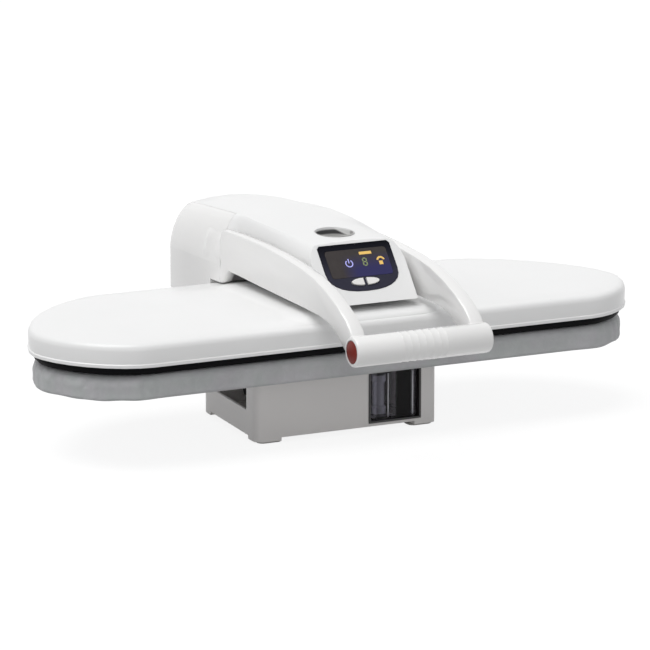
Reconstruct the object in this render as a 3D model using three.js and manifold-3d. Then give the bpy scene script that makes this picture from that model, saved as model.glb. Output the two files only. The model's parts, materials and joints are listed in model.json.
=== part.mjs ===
// Steam ironing press for a table top, in millimetres.
// X runs along the pressing board, -Y is the handle side and +Z is up.
// The origin lies on the table, under the middle of the whole press.
import * as THREE from 'three';
import { mergeVertices } from 'three/addons/utils/BufferGeometryUtils.js';
import Module from 'manifold-3d';

const wasm = await Module();
wasm.setup();

// Clearances shared by all pieces
const SEAT_GAP = 0.3;
const RUNNING_GAP = 0.35;
const CUT_OVERRUN = 4;
const MERGE_TOLERANCE = 0.0005;

// Facet counts
const ROUND_SIDES_COUNT = 24;
const SMALL_ROUND_SIDES_COUNT = 12;
const END_STEPS_COUNT = 8;
const COVER_END_STEPS_COUNT = 14;
const CORNER_STEPS_COUNT = 4;
const ARM_CURVE_STEPS_COUNT = 16;
const PLATFORM_CORNER_STEPS_COUNT = 6;
const CHIN_STEPS_COUNT = 14;
const KEY_STEPS_COUNT = 10;
const HOLE_SIDES_COUNT = 6;
const HOSE_STEPS_COUNT = 15;
const HOSE_SIDES_COUNT = 8;
const SPRING_SIDES_COUNT = 5;
const SPRING_STEPS_PER_TURN_COUNT = 8;
const EDGE_ROUND_SHARES = [[1, 0], [0.4, 0.2], [0.1, 0.55], [0, 1]];

// Feet
const FOOT_HEIGHT = 1.5;
const FOOT_LENGTH = 27;
const FOOT_WIDTH = 19;
const FOOT_CORNER = 6;
const FOOT_INSET = 3;

// Base housing
const BASE_FRONT_HALF_WIDTH = 110.5;
const BASE_REAR_HALF_WIDTH = 93;
const BASE_FRONT_Y = -61;
const BASE_REAR_Y = 105;
const BASE_UNDERSIDE_Z = 5.5;
const BASE_CORNER = 14;
const BASE_WALL = 3;
const BASE_PLATE_THICKNESS = 2;
const STUB_LENGTH = 30;
const STUB_WIDTH = 25;
const STUB_HEIGHT = 9;
const SIDE_OPENING_FRONT_Y = -31;
const SIDE_OPENING_REAR_Y = 76;
const SIDE_OPENING_SILL_Z = 32;
const SIDE_OPENING_HEAD_Z = 77;
const SIDE_OPENING_CORNER = 3;
const VENT_LENGTH = 40;
const VENT_WIDTH = 4;
const VENT_PITCH = 11;
const VENT_COUNT = 5;

// Water tank and its bay
const TANK_LEFT_X = 27;
const TANK_WIDTH = 58.5;
const TANK_FRONT_Y = -59.6;
const TANK_DEPTH = 100;
const TANK_BOTTOM_Z = 11.3;
const TANK_HEIGHT = 55;
const TANK_WALL = 2.4;
const TANK_CORNER = 6;
const TANK_HEADROOM = 3.2;
const TANK_SIDE_PLAY = 1.2;
const BAY_WALL = 2;
const FILLER_LENGTH = 30;
const FILLER_WIDTH = 22;
const FILLER_SETBACK = 10;
const FRAME_FACE = 2.4;
const FRAME_PROUD = 0.8;
const FRAME_DEPTH = 7;
const FILTER_RADIUS = 8.5;
const FILTER_HEIGHT = 43;
const FILTER_SETBACK = 20;
const FILTER_SIDE_SETBACK = 20;
const FILTER_WAIST = 1.6;
const VALVE_RADIUS = 4;
const VALVE_LENGTH = 12;
const VALVE_HEIGHT = 11;
const VALVE_FLANGE_RADIUS = 7;
const VALVE_FLANGE_THICKNESS = 2;
const SOCKET_WALL = 3;
const SOCKET_LENGTH = 14;

// Pump and hose
const PUMP_RADIUS = 15;
const PUMP_LENGTH = 46;
const PUMP_NECK_RADIUS = 6;
const PUMP_NECK_LENGTH = 9;
const PUMP_CENTRE_X = -28;
const PUMP_CENTRE_Y = 66;
const PUMP_FOOT_LENGTH = 34;
const PUMP_FOOT_WIDTH = 22;
const PUMP_LIFT = 6;
const HOSE_RADIUS = 3.4;
const HOSE_TURN_SHARE = 0.38;

// Rear column, hinge and mains gland
const COLUMN_HALF_WIDTH = 42;
const COLUMN_REAR_Y = 228;
const COLUMN_RISE_Y = 152;
const COLUMN_SPINE_TOP_Z = 53;
const COLUMN_TOP_Z = 95;
const COLUMN_CORNER = 8;
const COLUMN_WALL = 3;
const COLUMN_SLOPE_RUN = 16;
const HINGE_Y = 200;
const HINGE_Z = 109;
const SHAFT_RADIUS = 6;
const SHAFT_HALF_LENGTH = 50;
const BRACKET_OUTER_HALF_WIDTH = 37;
const BRACKET_THICKNESS = 3;
const BRACKET_HALF_DEPTH = 19;
const BRACKET_TOP_RADIUS = 13;
const BUSH_RADIUS = 9;
const BUSH_FLANGE_RADIUS = 12;
const BUSH_FLANGE_THICKNESS = 2;
const SPRING_WIRE_RADIUS = 1.5;
const SPRING_LENGTH = 24;
const SPRING_TURNS_COUNT = 5;
const SPRING_MIDDLE_X = 17;
const SPRING_LEG = 16;
const GLAND_RADIUS = 8;
const GLAND_BORE_RADIUS = 3.6;
const GLAND_PROUD = 9;
const GLAND_COLLAR = 3;
const GLAND_LIP = 1.4;
const GLAND_Y = 196;
const GLAND_Z = 25;

// Pressing board: pan, pad and cover
const BOARD_UNDERSIDE_Z = 87;
const PAN_THICKNESS = 1.5;
const PAN_RIM_HEIGHT = 8.4;
const PAN_HOLE_RADIUS = 5;
const PAN_HOLE_PITCH = 44;
const PAN_HOLE_ROW_Y = 84;
const PAN_HOLES_PER_ROW_COUNT = 11;
const PAD_THICKNESS = 13.9;
const PAD_EDGE_RADIUS = 8;
const COVER_THICKNESS = 1.2;
const COVER_INSET = 6.5;
const COVER_HEM = 9;
const COVER_RIPPLE = 1.1;
const COVER_RIPPLES_COUNT = 12;
const COVER_HEM_ROLL = 3;
const COVER_DRAW_IN = 0.7;

// Upper shoe: casing outline shared with the board
const CASING_HALF_LENGTH = 351;
const CASING_HALF_DEPTH = 127.7;
const CASING_FRONT_END = 89;
const CASING_REAR_END = 140;
const CASING_WIDEST_Y = -26;
const FRONT_END_FULLNESS_SHARE = 1.75;
const REAR_END_FULLNESS_SHARE = 1.6;
const CASING_HEIGHT = 25.5;
const CASING_WALL = 3;
const CASING_LIP = 3;
const CASING_LIP_PROUD = 1;
const CASING_EDGE_RADIUS = 8;
const CASING_CROWN = 3.2;
const CASING_DRAFT = 0.6;
const CASING_EDGE_SHARES = [[1, 0], [0.5, 0.12], [0.18, 0.42], [0, 1]];
const CASING_HOLLOW_SHARES = [[1, 0], [0.3, 0.35], [0, 1]];
const CASING_CROWN_SHARES = [[0.82, 0.5], [0.6, 0.8], [0.3, 1]];
const CASING_BOSS_SIDES_COUNT = 10;
const CASING_BOSS_RADIUS = 6;
const CASING_BOSS_X = 205;
const CASING_BOSS_Y = 88;
const PRESS_GAP = 0.4;
const PLATE_INSET = 5;
const PLATE_THICKNESS = 12;
const PLATE_FLOOR = 6.5;
const PLATE_RIM = 7;
const PLATE_EDGE = 6;
const STEAM_HOLE_RADIUS = 2.2;
const STEAM_HOLE_DEPTH = 4;
const STEAM_HOLE_PITCH = 46;
const STEAM_HOLE_ROW_Y = 62;
const STEAM_HOLES_PER_ROW_COUNT = 9;
const PLATE_CASING_STEP = 9.1;
const ELEMENT_RADIUS = 3.6;
const ELEMENT_SETBACK = 65;
const ELEMENT_GAP_HALF = 22;
const ELEMENT_RISE = 10;
const ELEMENT_STEPS_COUNT = 44;
const ELEMENT_END_SHARES = [[1, 1], [0.2, 0.62], [0, 0], [0.2, -0.62], [1, -1]];
const ELEMENT_STRAIGHT_SHARE = 0.5;
const CHAMBER_HALF_LENGTH = 84;
const CHAMBER_HALF_DEPTH = 34;
const CHAMBER_HEIGHT = 7;
const CHAMBER_CORNER = 14;
const CHAMBER_SPIGOT_RADIUS = 4;
const CHAMBER_SPIGOT_HEIGHT = 9;
const THERMOSTAT_RADIUS = 12;
const THERMOSTAT_HEIGHT = 11;
const THERMOSTAT_X = -140;
const THERMOSTAT_NECK_SHARE = 0.7;
const THERMOSTAT_FLANGE_SHARE = 0.4;

// Raised platform on the casing, under the arm
const PLATFORM_HEIGHT = 7.8;
const PLATFORM_HALF_WIDTH = 68;
const PLATFORM_FRONT_Y = -106;
const PLATFORM_REAR_Y = 62;
const PLATFORM_SIDE_RUN = 27;
const PLATFORM_FRONT_RUN = 17;
const PLATFORM_REAR_RUN = 46;
const PLATFORM_CORNER = 16;
const PLATFORM_CORNER_RUN = 21.6;
const PLATFORM_FLARE_SHARES = [[-0.5, -0.1], [0, 0], [0.3, 0.16], [0.62, 0.4], [0.86, 0.68], [1, 1]];

// Shoe bracket and its pin
const PIVOT_Y = 88;
const PIVOT_RISE = 16;
const PIN_RADIUS = 4;
const PIN_HALF_LENGTH = 50;
const EAR_OUTER_HALF_WIDTH = 30;
const EAR_THICKNESS = 3;
const EAR_RADIUS = 9;
const EAR_FOOT_HALF_DEPTH = 17;
const EAR_FOOT_HALF_WIDTH = 36;
const EAR_FOOT_THICKNESS = 2.5;

// Arm: underside, tower, hood and console
const ARM_GAP = 6.4;
const HOUSING_WALL = 3;
const TOWER_FRONT_Y = 88;
const TOWER_NOTCH_Y = 131;
const TOWER_REAR_Y = 235;
const TOWER_HALF_WIDTH = 71.5;
const TOWER_BOTTOM_Z = 115;
const TOWER_NOTCH_Z = 141.8;
const TOWER_STEP_Y = 110;
const FLANK_STEP_Y = 103;
const TOWER_SHOULDER_Z = 162;
const TOWER_EDGE_ROUND = 7;
const SHOULDER_FULLNESS_SHARE = 1.65;
const SHOULDER_STEPS_COUNT = 6;
const SHOULDER_INNER_STEPS_COUNT = 3;
const TOP_DRAW_SHARE = 0.6;
const HOOD_HALF_WIDTH = 44;
const HOOD_EDGE_Z = 208;
const HOOD_RISE = 10;
const HOOD_WIDENING = 8;
const HOOD_CROWN = 4.5;
const HOOD_TOP_SHARES = [
  [0, 0, -0.1, 0.2],
  [0.154, 0.3, 0, 0.3],
  [0.23, 0.45, 0.3, 0.35],
  [0.342, 0.7, 0.75, 0.45],
  [0.454, 0.9, 1, 0.5],
  [0.566, 1, 1, 0.6],
  [0.678, 0.85, 0.75, 0.7],
  [0.762, 0.65, 0.55, 0.8],
  [0.874, 0.45, 0.38, 0.9],
  [1, 0.05, 0.12, 1],
];
const HOOD_SEAM_Y = 104;
const LID_SIDE_Z = 197;
const CONSOLE_FRONT_Y = -122;
const CONSOLE_REAR_HALF_WIDTH = 58.5;
const CONSOLE_FRONT_HALF_WIDTH = 55;
const CONSOLE_SHOULDER_Z = 190;
const SHOULDER_REAR_Y = 108;
const NARROWING_STEPS_COUNT = 4;
const FLANK_CREASE_Z = 160;
const FLANK_CREASE_RUN = 12;
const FLANK_RECESS = 1.5;
const FLANK_RECESS_SHARES = [[0, 0], [0.14, 1], [1, 1]];
const FLANK_FOOT_SHARE = 0.35;
const FLANK_LIP = 1;
const CROWN_SIDE_SHARE = 0.75;
const TOWER_END_SHARES = [[0.5, 0.13], [0.15, 0.4], [0, 1]];
const FACE_WALL = 5.4;
const FACE_PASSAGE = 9;
const GROOVE = 1.5;

// Tilted console face and what it carries
const FACE_TILT_DEG = 51;
const FACE_CENTRE_Y = -86.8;
const FACE_CENTRE_Z = 187;
const BEZEL_HALF_WIDTH = 43;
const BEZEL_TOP = 29;
const BEZEL_SHOULDER = -4;
const BEZEL_BOTTOM = -28;
const BEZEL_FULLNESS_SHARE = 2.4;
const BEZEL_TOP_CORNER = 3;
const BEZEL_THICKNESS = 2.4;
const BEZEL_PROUD = 0.5;
const WINDOW_HALF_WIDTH = 36.5;
const WINDOW_TOP = 22;
const WINDOW_BOTTOM = -11;
const WINDOW_THICKNESS = 1.6;
const WINDOW_LEDGE = 2;
const KEY_MIDDLE_GAP = 4;
const KEY_LENGTH = 14.4;
const KEY_HALF_HEIGHT = 4.1;
const KEY_DOWN = 17.4;
const KEY_PROUD = 1.6;
const KEY_DEPTH = 4;
const KEY_STEM_RADIUS = 1.8;
const KEY_PLAY = 0.4;
const KEY_TRAVEL = 1;
const BOARD_SETBACK = 14;
const BOARD_HALF_WIDTH = 40;
const BOARD_HALF_HEIGHT = 24;
const BOARD_THICKNESS = 1.6;
const SWITCH_SIZE = 6;
const SWITCH_HEIGHT = 4;
const MODULE_HALF_WIDTH = 31;
const RECESS_CUP_Y = -28;
const RECESS_CUP_RADIUS = 21.3;
const RECESS_CUP_DEPTH = 9;
const RECESS_CUP_WALL = 1.2;

// Fork handle
const BAR_Y = -218.4;
const BAR_Z = 129;
const BAR_RADIUS = 16;
const BAR_HALF_LENGTH = 80;
const BAR_RIM = 2.5;
const BAR_RIM_SHARE = 0.3;
const BAR_RIB_PROUD = 0.35;
const BAR_RIB_WIDTH = 2;
const BAR_RIB_PITCH = 8.5;
const BAR_RIBS_COUNT = 7;
const ARM_FLANK_LAP = 4.744;
const ARM_RIDGE_Z = 203;
const ARM_FRONT_OUTER_X = 78.5;
const ARM_REAR_OUTER_X = 71.3;
const ARM_FRONT_WIDTH = 17;
const ARM_REAR_WIDTH = 11.3;
const ARM_EDGE_RADIUS = 3.2;
const ARM_PARALLEL_SHARE = 0.86;
const ARM_TOP_SHARES = [
  [0.91, 0.5], [0.909, 0.72], [0.904, 0.88], [0.893, 0.96], [0.874, 0.985], [0.83, 0.995],
  [0.721, 1], [0.582, 0.987], [0.442, 0.94], [0.319, 0.873], [0.227, 0.78],
  [0.135, 0.62], [0.0655, 0.453], [0.0237, 0.3], [0.005, 0.18],
];
const ARM_UNDERSIDE_SHARES = [
  [0.04, -0.093], [0.074, 0.02], [0.102, 0.113], [0.141, 0.22], [0.191, 0.28], [0.28, 0.313], [0.498, 0.34],
  [0.693, 0.367], [0.834, 0.39], [0.857, 0.35], [0.872, 0.24], [0.884, 0.19], [0.91, 0.175],
];

// Steam buttons in the ends of the bar
const BUTTON_RADIUS = 12;
const BUTTON_PLAY = 0.4;
const BUTTON_LENGTH = 12;
const BUTTON_PROUD = 0.6;
const BUTTON_CROWN = 1.2;
const BUTTON_CROWN_SHARE = 0.3;
const BUTTON_FACE_SHARE = 0.85;
const BUTTON_STEM_RADIUS = 2.5;
const BUTTON_STEM_LENGTH = 8;
const BUTTON_TRAVEL = 3;
const BUTTON_BORE_DEPTH = 48;
const BUTTON_SPRING_RADIUS = 6.5;
const BUTTON_SPRING_WIRE_RADIUS = 0.6;
const BUTTON_SPRING_TURNS_COUNT = 5;
const STEAM_SWITCH_LENGTH = 16;
const STEAM_SWITCH_HEIGHT = 11;
const STEAM_SWITCH_WIDTH = 8;

// Steel frame inside the arm
const FRAME_PLATE_OUTER_HALF_WIDTH = 47;
const FRAME_PLATE_THICKNESS = 3;
const FRAME_TRAY_THICKNESS = 3;
const FRAME_TRAY_HALF_WIDTH = 50;
const FRAME_TRAY_FRONT_Y = -100;
const FRAME_TRAY_REAR_Y = 126;
const FRAME_RAIL_HEIGHT = 22;
const FRAME_RAIL_FRONT_Y = -60;
const FRAME_BOSS_RADIUS = 15;
const FRAME_NECK = 24;
const RIB_THICKNESS = 3;
const HOUSING_RIB_PLACES_Y = [158, 178];
const HOOD_RIB_PLACES_Y = [-36, 56];
const RIB_HEIGHT = 10;
const STOP_PAD_RADIUS = 8;
const STOP_PAD_X = 34;
const STOP_PAD_Y = -58;

// Heights that follow from the sizes above
const BASE_TOP_Z = BOARD_UNDERSIDE_Z - SEAT_GAP;
const PAD_BOTTOM_Z = BOARD_UNDERSIDE_Z + PAN_THICKNESS + SEAT_GAP;
const PAD_TOP_Z = PAD_BOTTOM_Z + PAD_THICKNESS;
const COVER_TOP_Z = PAD_TOP_Z + SEAT_GAP + COVER_THICKNESS;
const PAN_RIM_BOTTOM_Z = BOARD_UNDERSIDE_Z + PAN_THICKNESS - PAN_RIM_HEIGHT;
const COVER_BOTTOM_Z = PAN_RIM_BOTTOM_Z - SEAT_GAP - COVER_THICKNESS;
const PLATE_BOTTOM_Z = COVER_TOP_Z + PRESS_GAP;
const PLATE_FLOOR_Z = PLATE_BOTTOM_Z + PLATE_FLOOR;
const CASING_BOTTOM_Z = PLATE_BOTTOM_Z + PLATE_CASING_STEP;
const CASING_EDGE_Z = CASING_BOTTOM_Z + CASING_HEIGHT;
const CASING_CEILING_Z = CASING_EDGE_Z - CASING_WALL;
const PLATFORM_TOP_Z = CASING_EDGE_Z + PLATFORM_HEIGHT;
const ARM_UNDERSIDE_Z = PLATFORM_TOP_Z + ARM_GAP;
const PIVOT_Z = PLATFORM_TOP_Z + PIVOT_RISE;
const TANK_RIGHT_X = TANK_LEFT_X + TANK_WIDTH;
const TANK_REAR_Y = TANK_FRONT_Y + TANK_DEPTH;
const TANK_TOP_Z = TANK_BOTTOM_Z + TANK_HEIGHT;
const VALVE_X = TANK_LEFT_X + TANK_WIDTH / 2;
const VALVE_Z = TANK_BOTTOM_Z + VALVE_HEIGHT;
const PUMP_Z = BASE_UNDERSIDE_Z + BASE_PLATE_THICKNESS + SEAT_GAP + PUMP_LIFT + PUMP_RADIUS;
const BAR_INNER_X = BAR_HALF_LENGTH - BUTTON_BORE_DEPTH;
const BRACKET_FOOT_Z = BASE_UNDERSIDE_Z + COLUMN_WALL + SEAT_GAP;
const SPRING_RADIUS = SHAFT_RADIUS + SEAT_GAP + SPRING_WIRE_RADIUS;
const HALF_TURN = Math.PI;

// Solids from geometry and back
function solidFrom(geometry) {
  const bare = geometry.index ? geometry.toNonIndexed() : geometry.clone();
  bare.deleteAttribute('normal');
  bare.deleteAttribute('uv');
  const merged = mergeVertices(bare, MERGE_TOLERANCE);
  return new wasm.Manifold(new wasm.Mesh({
    numProp: 3,
    vertProperties: new Float32Array(merged.getAttribute('position').array),
    triVerts: new Uint32Array(merged.index.array),
  }));
}

function geometryFrom(solid) {
  const mesh = solid.getMesh();
  const geometry = new THREE.BufferGeometry();
  const places = new Float32Array(mesh.vertProperties);
  geometry.setAttribute('position', new THREE.BufferAttribute(places, mesh.numProp));
  geometry.setIndex(new THREE.BufferAttribute(new Uint32Array(mesh.triVerts), 1));
  return geometry;
}

function join(first, ...rest) {
  return rest.reduce((sum, solid) => sum.add(solid), first);
}

function cut(first, ...rest) {
  return rest.reduce((left, solid) => left.subtract(solid), first);
}

// Closed body through rings of equal point counts, capped by fans
function loft(rings) {
  const count = rings[0].length;
  const places = rings.flat();
  const faces = [];
  for (let ring = 0; ring + 1 < rings.length; ring += 1) {
    for (let i = 0; i < count; i += 1) {
      const a = ring * count + i;
      const b = ring * count + ((i + 1) % count);
      faces.push(a, b, b + count, a, b + count, a + count);
    }
  }
  const ends = [[0, -1], [rings.length - 1, 1]];
  for (const [ring, side] of ends) {
    const middle = places.length;
    const sum = rings[ring].reduce((total, place) => (
      total.map((value, axis) => value + place[axis])
    ), [0, 0, 0]);
    places.push(sum.map((value) => value / count));
    for (let i = 0; i < count; i += 1) {
      const a = ring * count + i;
      const b = ring * count + ((i + 1) % count);
      faces.push(...(side < 0 ? [middle, b, a] : [middle, a, b]));
    }
  }
  const geometry = new THREE.BufferGeometry();
  geometry.setAttribute('position', new THREE.BufferAttribute(new Float32Array(places.flat()), 3));
  geometry.setIndex(faces);
  return solidFrom(facingOut(geometry));
}

// Signed volume of a closed indexed geometry
function volumeOf(geometry) {
  const place = geometry.getAttribute('position');
  const corner = [0, 1, 2].map(() => new THREE.Vector3());
  let volume = 0;
  for (let i = 0; i < geometry.index.count; i += 3) {
    corner.forEach((vector, k) => vector.fromBufferAttribute(place, geometry.index.getX(i + k)));
    volume += corner[0].dot(corner[1].cross(corner[2])) / 6;
  }
  return volume;
}

function facingOut(geometry) {
  if (volumeOf(geometry) >= 0) {
    return geometry;
  }
  const index = Array.from(geometry.index.array);
  for (let i = 0; i < index.length; i += 3) {
    [index[i + 1], index[i + 2]] = [index[i + 2], index[i + 1]];
  }
  geometry.setIndex(index);
  return geometry;
}

// Plain blocks, rods, revolved bodies and prisms
function block(x0, x1, y0, y1, z0, z1) {
  const geometry = new THREE.BoxGeometry(x1 - x0, y1 - y0, z1 - z0);
  geometry.translate((x0 + x1) / 2, (y0 + y1) / 2, (z0 + z1) / 2);
  return solidFrom(geometry);
}

function shapeOf(points) {
  return new THREE.Shape(points.map(([a, b]) => new THREE.Vector2(a, b)));
}

function prismZ(points, z0, z1) {
  const geometry = new THREE.ExtrudeGeometry(shapeOf(points), { depth: z1 - z0, bevelEnabled: false });
  geometry.translate(0, 0, z0);
  return solidFrom(geometry);
}

// The points are (y, z) places and the prism runs along X
function prismX(points, x0, x1) {
  const geometry = new THREE.ExtrudeGeometry(shapeOf(points), { depth: x1 - x0, bevelEnabled: false });
  geometry.applyMatrix4(new THREE.Matrix4().makeBasis(
    new THREE.Vector3(0, 1, 0),
    new THREE.Vector3(0, 0, 1),
    new THREE.Vector3(1, 0, 0),
  ));
  geometry.translate(x0, 0, 0);
  return solidFrom(geometry);
}

// The profile holds (radius, height) places, from axis to axis or closed on itself
function revolved(profile, axis, place, sides = ROUND_SIDES_COUNT) {
  const points = profile.map(([radius, height]) => new THREE.Vector2(radius, height));
  const geometry = new THREE.LatheGeometry(points, sides);
  if (axis === 'x') {
    geometry.rotateZ(-HALF_TURN / 2);
  }
  if (axis === 'z') {
    geometry.rotateX(HALF_TURN / 2);
  }
  geometry.translate(...place);
  geometry.deleteAttribute('normal');
  geometry.deleteAttribute('uv');
  const merged = mergeVertices(geometry, MERGE_TOLERANCE);
  return solidFrom(facingOut(withoutSlivers(merged)));
}

// A revolved profile has triangles of no area where it meets the axis
function withoutSlivers(geometry) {
  const kept = [];
  for (let i = 0; i < geometry.index.count; i += 3) {
    const [a, b, c] = [0, 1, 2].map((k) => geometry.index.getX(i + k));
    if (a !== b && b !== c && c !== a) {
      kept.push(a, b, c);
    }
  }
  geometry.setIndex(kept);
  return geometry;
}

function rod(radius, start, length, axis, place, sides = ROUND_SIDES_COUNT) {
  const end = start + length;
  return revolved([[0, start], [radius, start], [radius, end], [0, end]], axis, place, sides);
}

// Tube of round section along a list of places
function tube(places, radius, steps, sides) {
  const path = new THREE.CatmullRomCurve3(places.map((place) => new THREE.Vector3(...place)));
  const section = [];
  for (let i = 0; i < sides; i += 1) {
    const angle = (2 * HALF_TURN * i) / sides;
    section.push([radius * Math.cos(angle), radius * Math.sin(angle)]);
  }
  const settings = { steps, extrudePath: path, bevelEnabled: false };
  return solidFrom(new THREE.ExtrudeGeometry(shapeOf(section), settings));
}

// Rectangle with round corners, as (a, b) places
function roundedRectangle(a0, a1, b0, b1, radius, steps = CORNER_STEPS_COUNT) {
  const middles = [
    [a1 - radius, b0 + radius, -1 / 2],
    [a1 - radius, b1 - radius, 0],
    [a0 + radius, b1 - radius, 1 / 2],
    [a0 + radius, b0 + radius, 1],
  ];
  return middles.flatMap(([a, b, startTurn]) => {
    const corner = [];
    for (let i = 0; i <= steps; i += 1) {
      const angle = (startTurn + i / (2 * steps)) * HALF_TURN;
      corner.push([a + radius * Math.cos(angle), b + radius * Math.sin(angle)]);
    }
    return corner;
  });
}

function mix(from, to, share) {
  return from + (to - from) * share;
}

// Value in one column of a table at a place between its rows' first entries
function along(table, place, column = 1) {
  const last = table.length - 1;
  for (let i = 0; i < last; i += 1) {
    const [from, to] = [table[i], table[i + 1]];
    if (place <= to[0] || i + 1 === last) {
      const share = Math.min(1, Math.max(0, (place - from[0]) / (to[0] - from[0])));
      return mix(from[column], to[column], share);
    }
  }
  return table[last][column];
}

// Board and casing outline in plan: straight sides, curved ends, longest in front of the middle
function boardOutline(inset, steps = END_STEPS_COUNT) {
  const halfLength = CASING_HALF_LENGTH - inset;
  const halfDepth = CASING_HALF_DEPTH - inset;
  const quarter = (end, fullness, sideX, sideY) => {
    const points = [];
    const run = end - inset;
    for (let i = 0; i <= steps; i += 1) {
      const angle = (HALF_TURN / 2) * (i / steps);
      const x = halfLength - run + run * Math.cos(angle) ** (2 / fullness);
      const bulge = (sideY * halfDepth - CASING_WIDEST_Y) * Math.sin(angle) ** (2 / fullness);
      points.push([sideX * x, CASING_WIDEST_Y + bulge]);
    }
    return points;
  };
  return [
    ...quarter(CASING_REAR_END, REAR_END_FULLNESS_SHARE, 1, 1),
    ...quarter(CASING_REAR_END, REAR_END_FULLNESS_SHARE, -1, 1).reverse().slice(0, -1),
    ...quarter(CASING_FRONT_END, FRONT_END_FULLNESS_SHARE, -1, -1),
    ...quarter(CASING_FRONT_END, FRONT_END_FULLNESS_SHARE, 1, -1).reverse().slice(0, -1),
  ];
}

// The outline drawn in towards the board's long centre line
function drawnIn(points, share) {
  const centre = CASING_HALF_LENGTH - (CASING_FRONT_END + CASING_REAR_END) / 2;
  return points.map(([x, y]) => {
    const over = Math.max(0, Math.abs(x) - centre);
    return [Math.sign(x) * (Math.abs(x) - over + over * share), y * share];
  });
}

function atHeight(points, z) {
  return points.map(([x, y]) => [x, y, z]);
}

// Levels of a rounded top edge, as [height, inset] pairs
function roundedEdge(top, side, radius, shares = EDGE_ROUND_SHARES) {
  return shares.map(([down, inward]) => [top - radius * down, side + radius * inward]);
}

// Loft of the board outline through [height, inset] pairs
function boardLoft(levels, steps = END_STEPS_COUNT) {
  return loft(levels.map(([z, inset]) => atHeight(boardOutline(inset, steps), z)));
}

// Finished sub-parts are collected here
const press = new THREE.Group();

function addPart(name, solid, color, roughness, metalness = 0) {
  const material = new THREE.MeshStandardMaterial({ color, roughness, metalness });
  const mesh = new THREE.Mesh(geometryFrom(solid), material);
  mesh.name = name;
  press.add(mesh);
}

const WHITE_PLASTIC = [0xf1f1ef, 0.35];
const WARM_GREY_PLASTIC = [0xdad7d2, 0.5];
const DARK_PLASTIC = [0x222326, 0.45];
const STEEL = [0xb9bcc0, 0.35, 0.9];
const BRONZE = [0xb08d57, 0.4, 0.9];
const PALE_RUBBER = [0xb8b6b2, 0.8];

// Base housing: tapered shell with open sides, stub legs and the tank bay
function baseOutline(inset) {
  const corners = [
    [BASE_FRONT_HALF_WIDTH - inset, BASE_FRONT_Y + inset],
    [BASE_REAR_HALF_WIDTH - inset, BASE_REAR_Y - inset],
    [-BASE_REAR_HALF_WIDTH + inset, BASE_REAR_Y - inset],
    [-BASE_FRONT_HALF_WIDTH + inset, BASE_FRONT_Y + inset],
  ];
  return roundedPolygon(corners, BASE_CORNER - inset);
}

// Each corner of a convex polygon is replaced by a short curve
function roundedPolygon(corners, radius) {
  const count = corners.length;
  return corners.flatMap((corner, i) => {
    const here = new THREE.Vector2(...corner);
    const towards = (other) => new THREE.Vector2(...other).sub(here).setLength(radius).add(here);
    const before = towards(corners[(i + count - 1) % count]);
    const after = towards(corners[(i + 1) % count]);
    const curve = new THREE.QuadraticBezierCurve(before, here, after);
    return curve.getPoints(CORNER_STEPS_COUNT).map((point) => [point.x, point.y]);
  });
}

function baseHalfWidthAt(y) {
  const share = (y - BASE_FRONT_Y) / (BASE_REAR_Y - BASE_FRONT_Y);
  return mix(BASE_FRONT_HALF_WIDTH, BASE_REAR_HALF_WIDTH, share);
}

// Front left corner of each stub leg's block in plan, with its side
function stubPlaces() {
  const rearY = BASE_REAR_Y - STUB_WIDTH;
  return [
    ['front_left', -1, BASE_FRONT_Y],
    ['front_right', 1, BASE_FRONT_Y],
    ['rear_left', -1, rearY],
    ['rear_right', 1, rearY],
  ];
}

function stubBlock(side, y, grow, z0, z1) {
  const outer = side * (BASE_FRONT_HALF_WIDTH + CUT_OVERRUN);
  const inner = side * (baseHalfWidthAt(y) - STUB_LENGTH - grow);
  return block(Math.min(outer, inner), Math.max(outer, inner), y - grow, y + STUB_WIDTH + grow, z0, z1);
}

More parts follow.
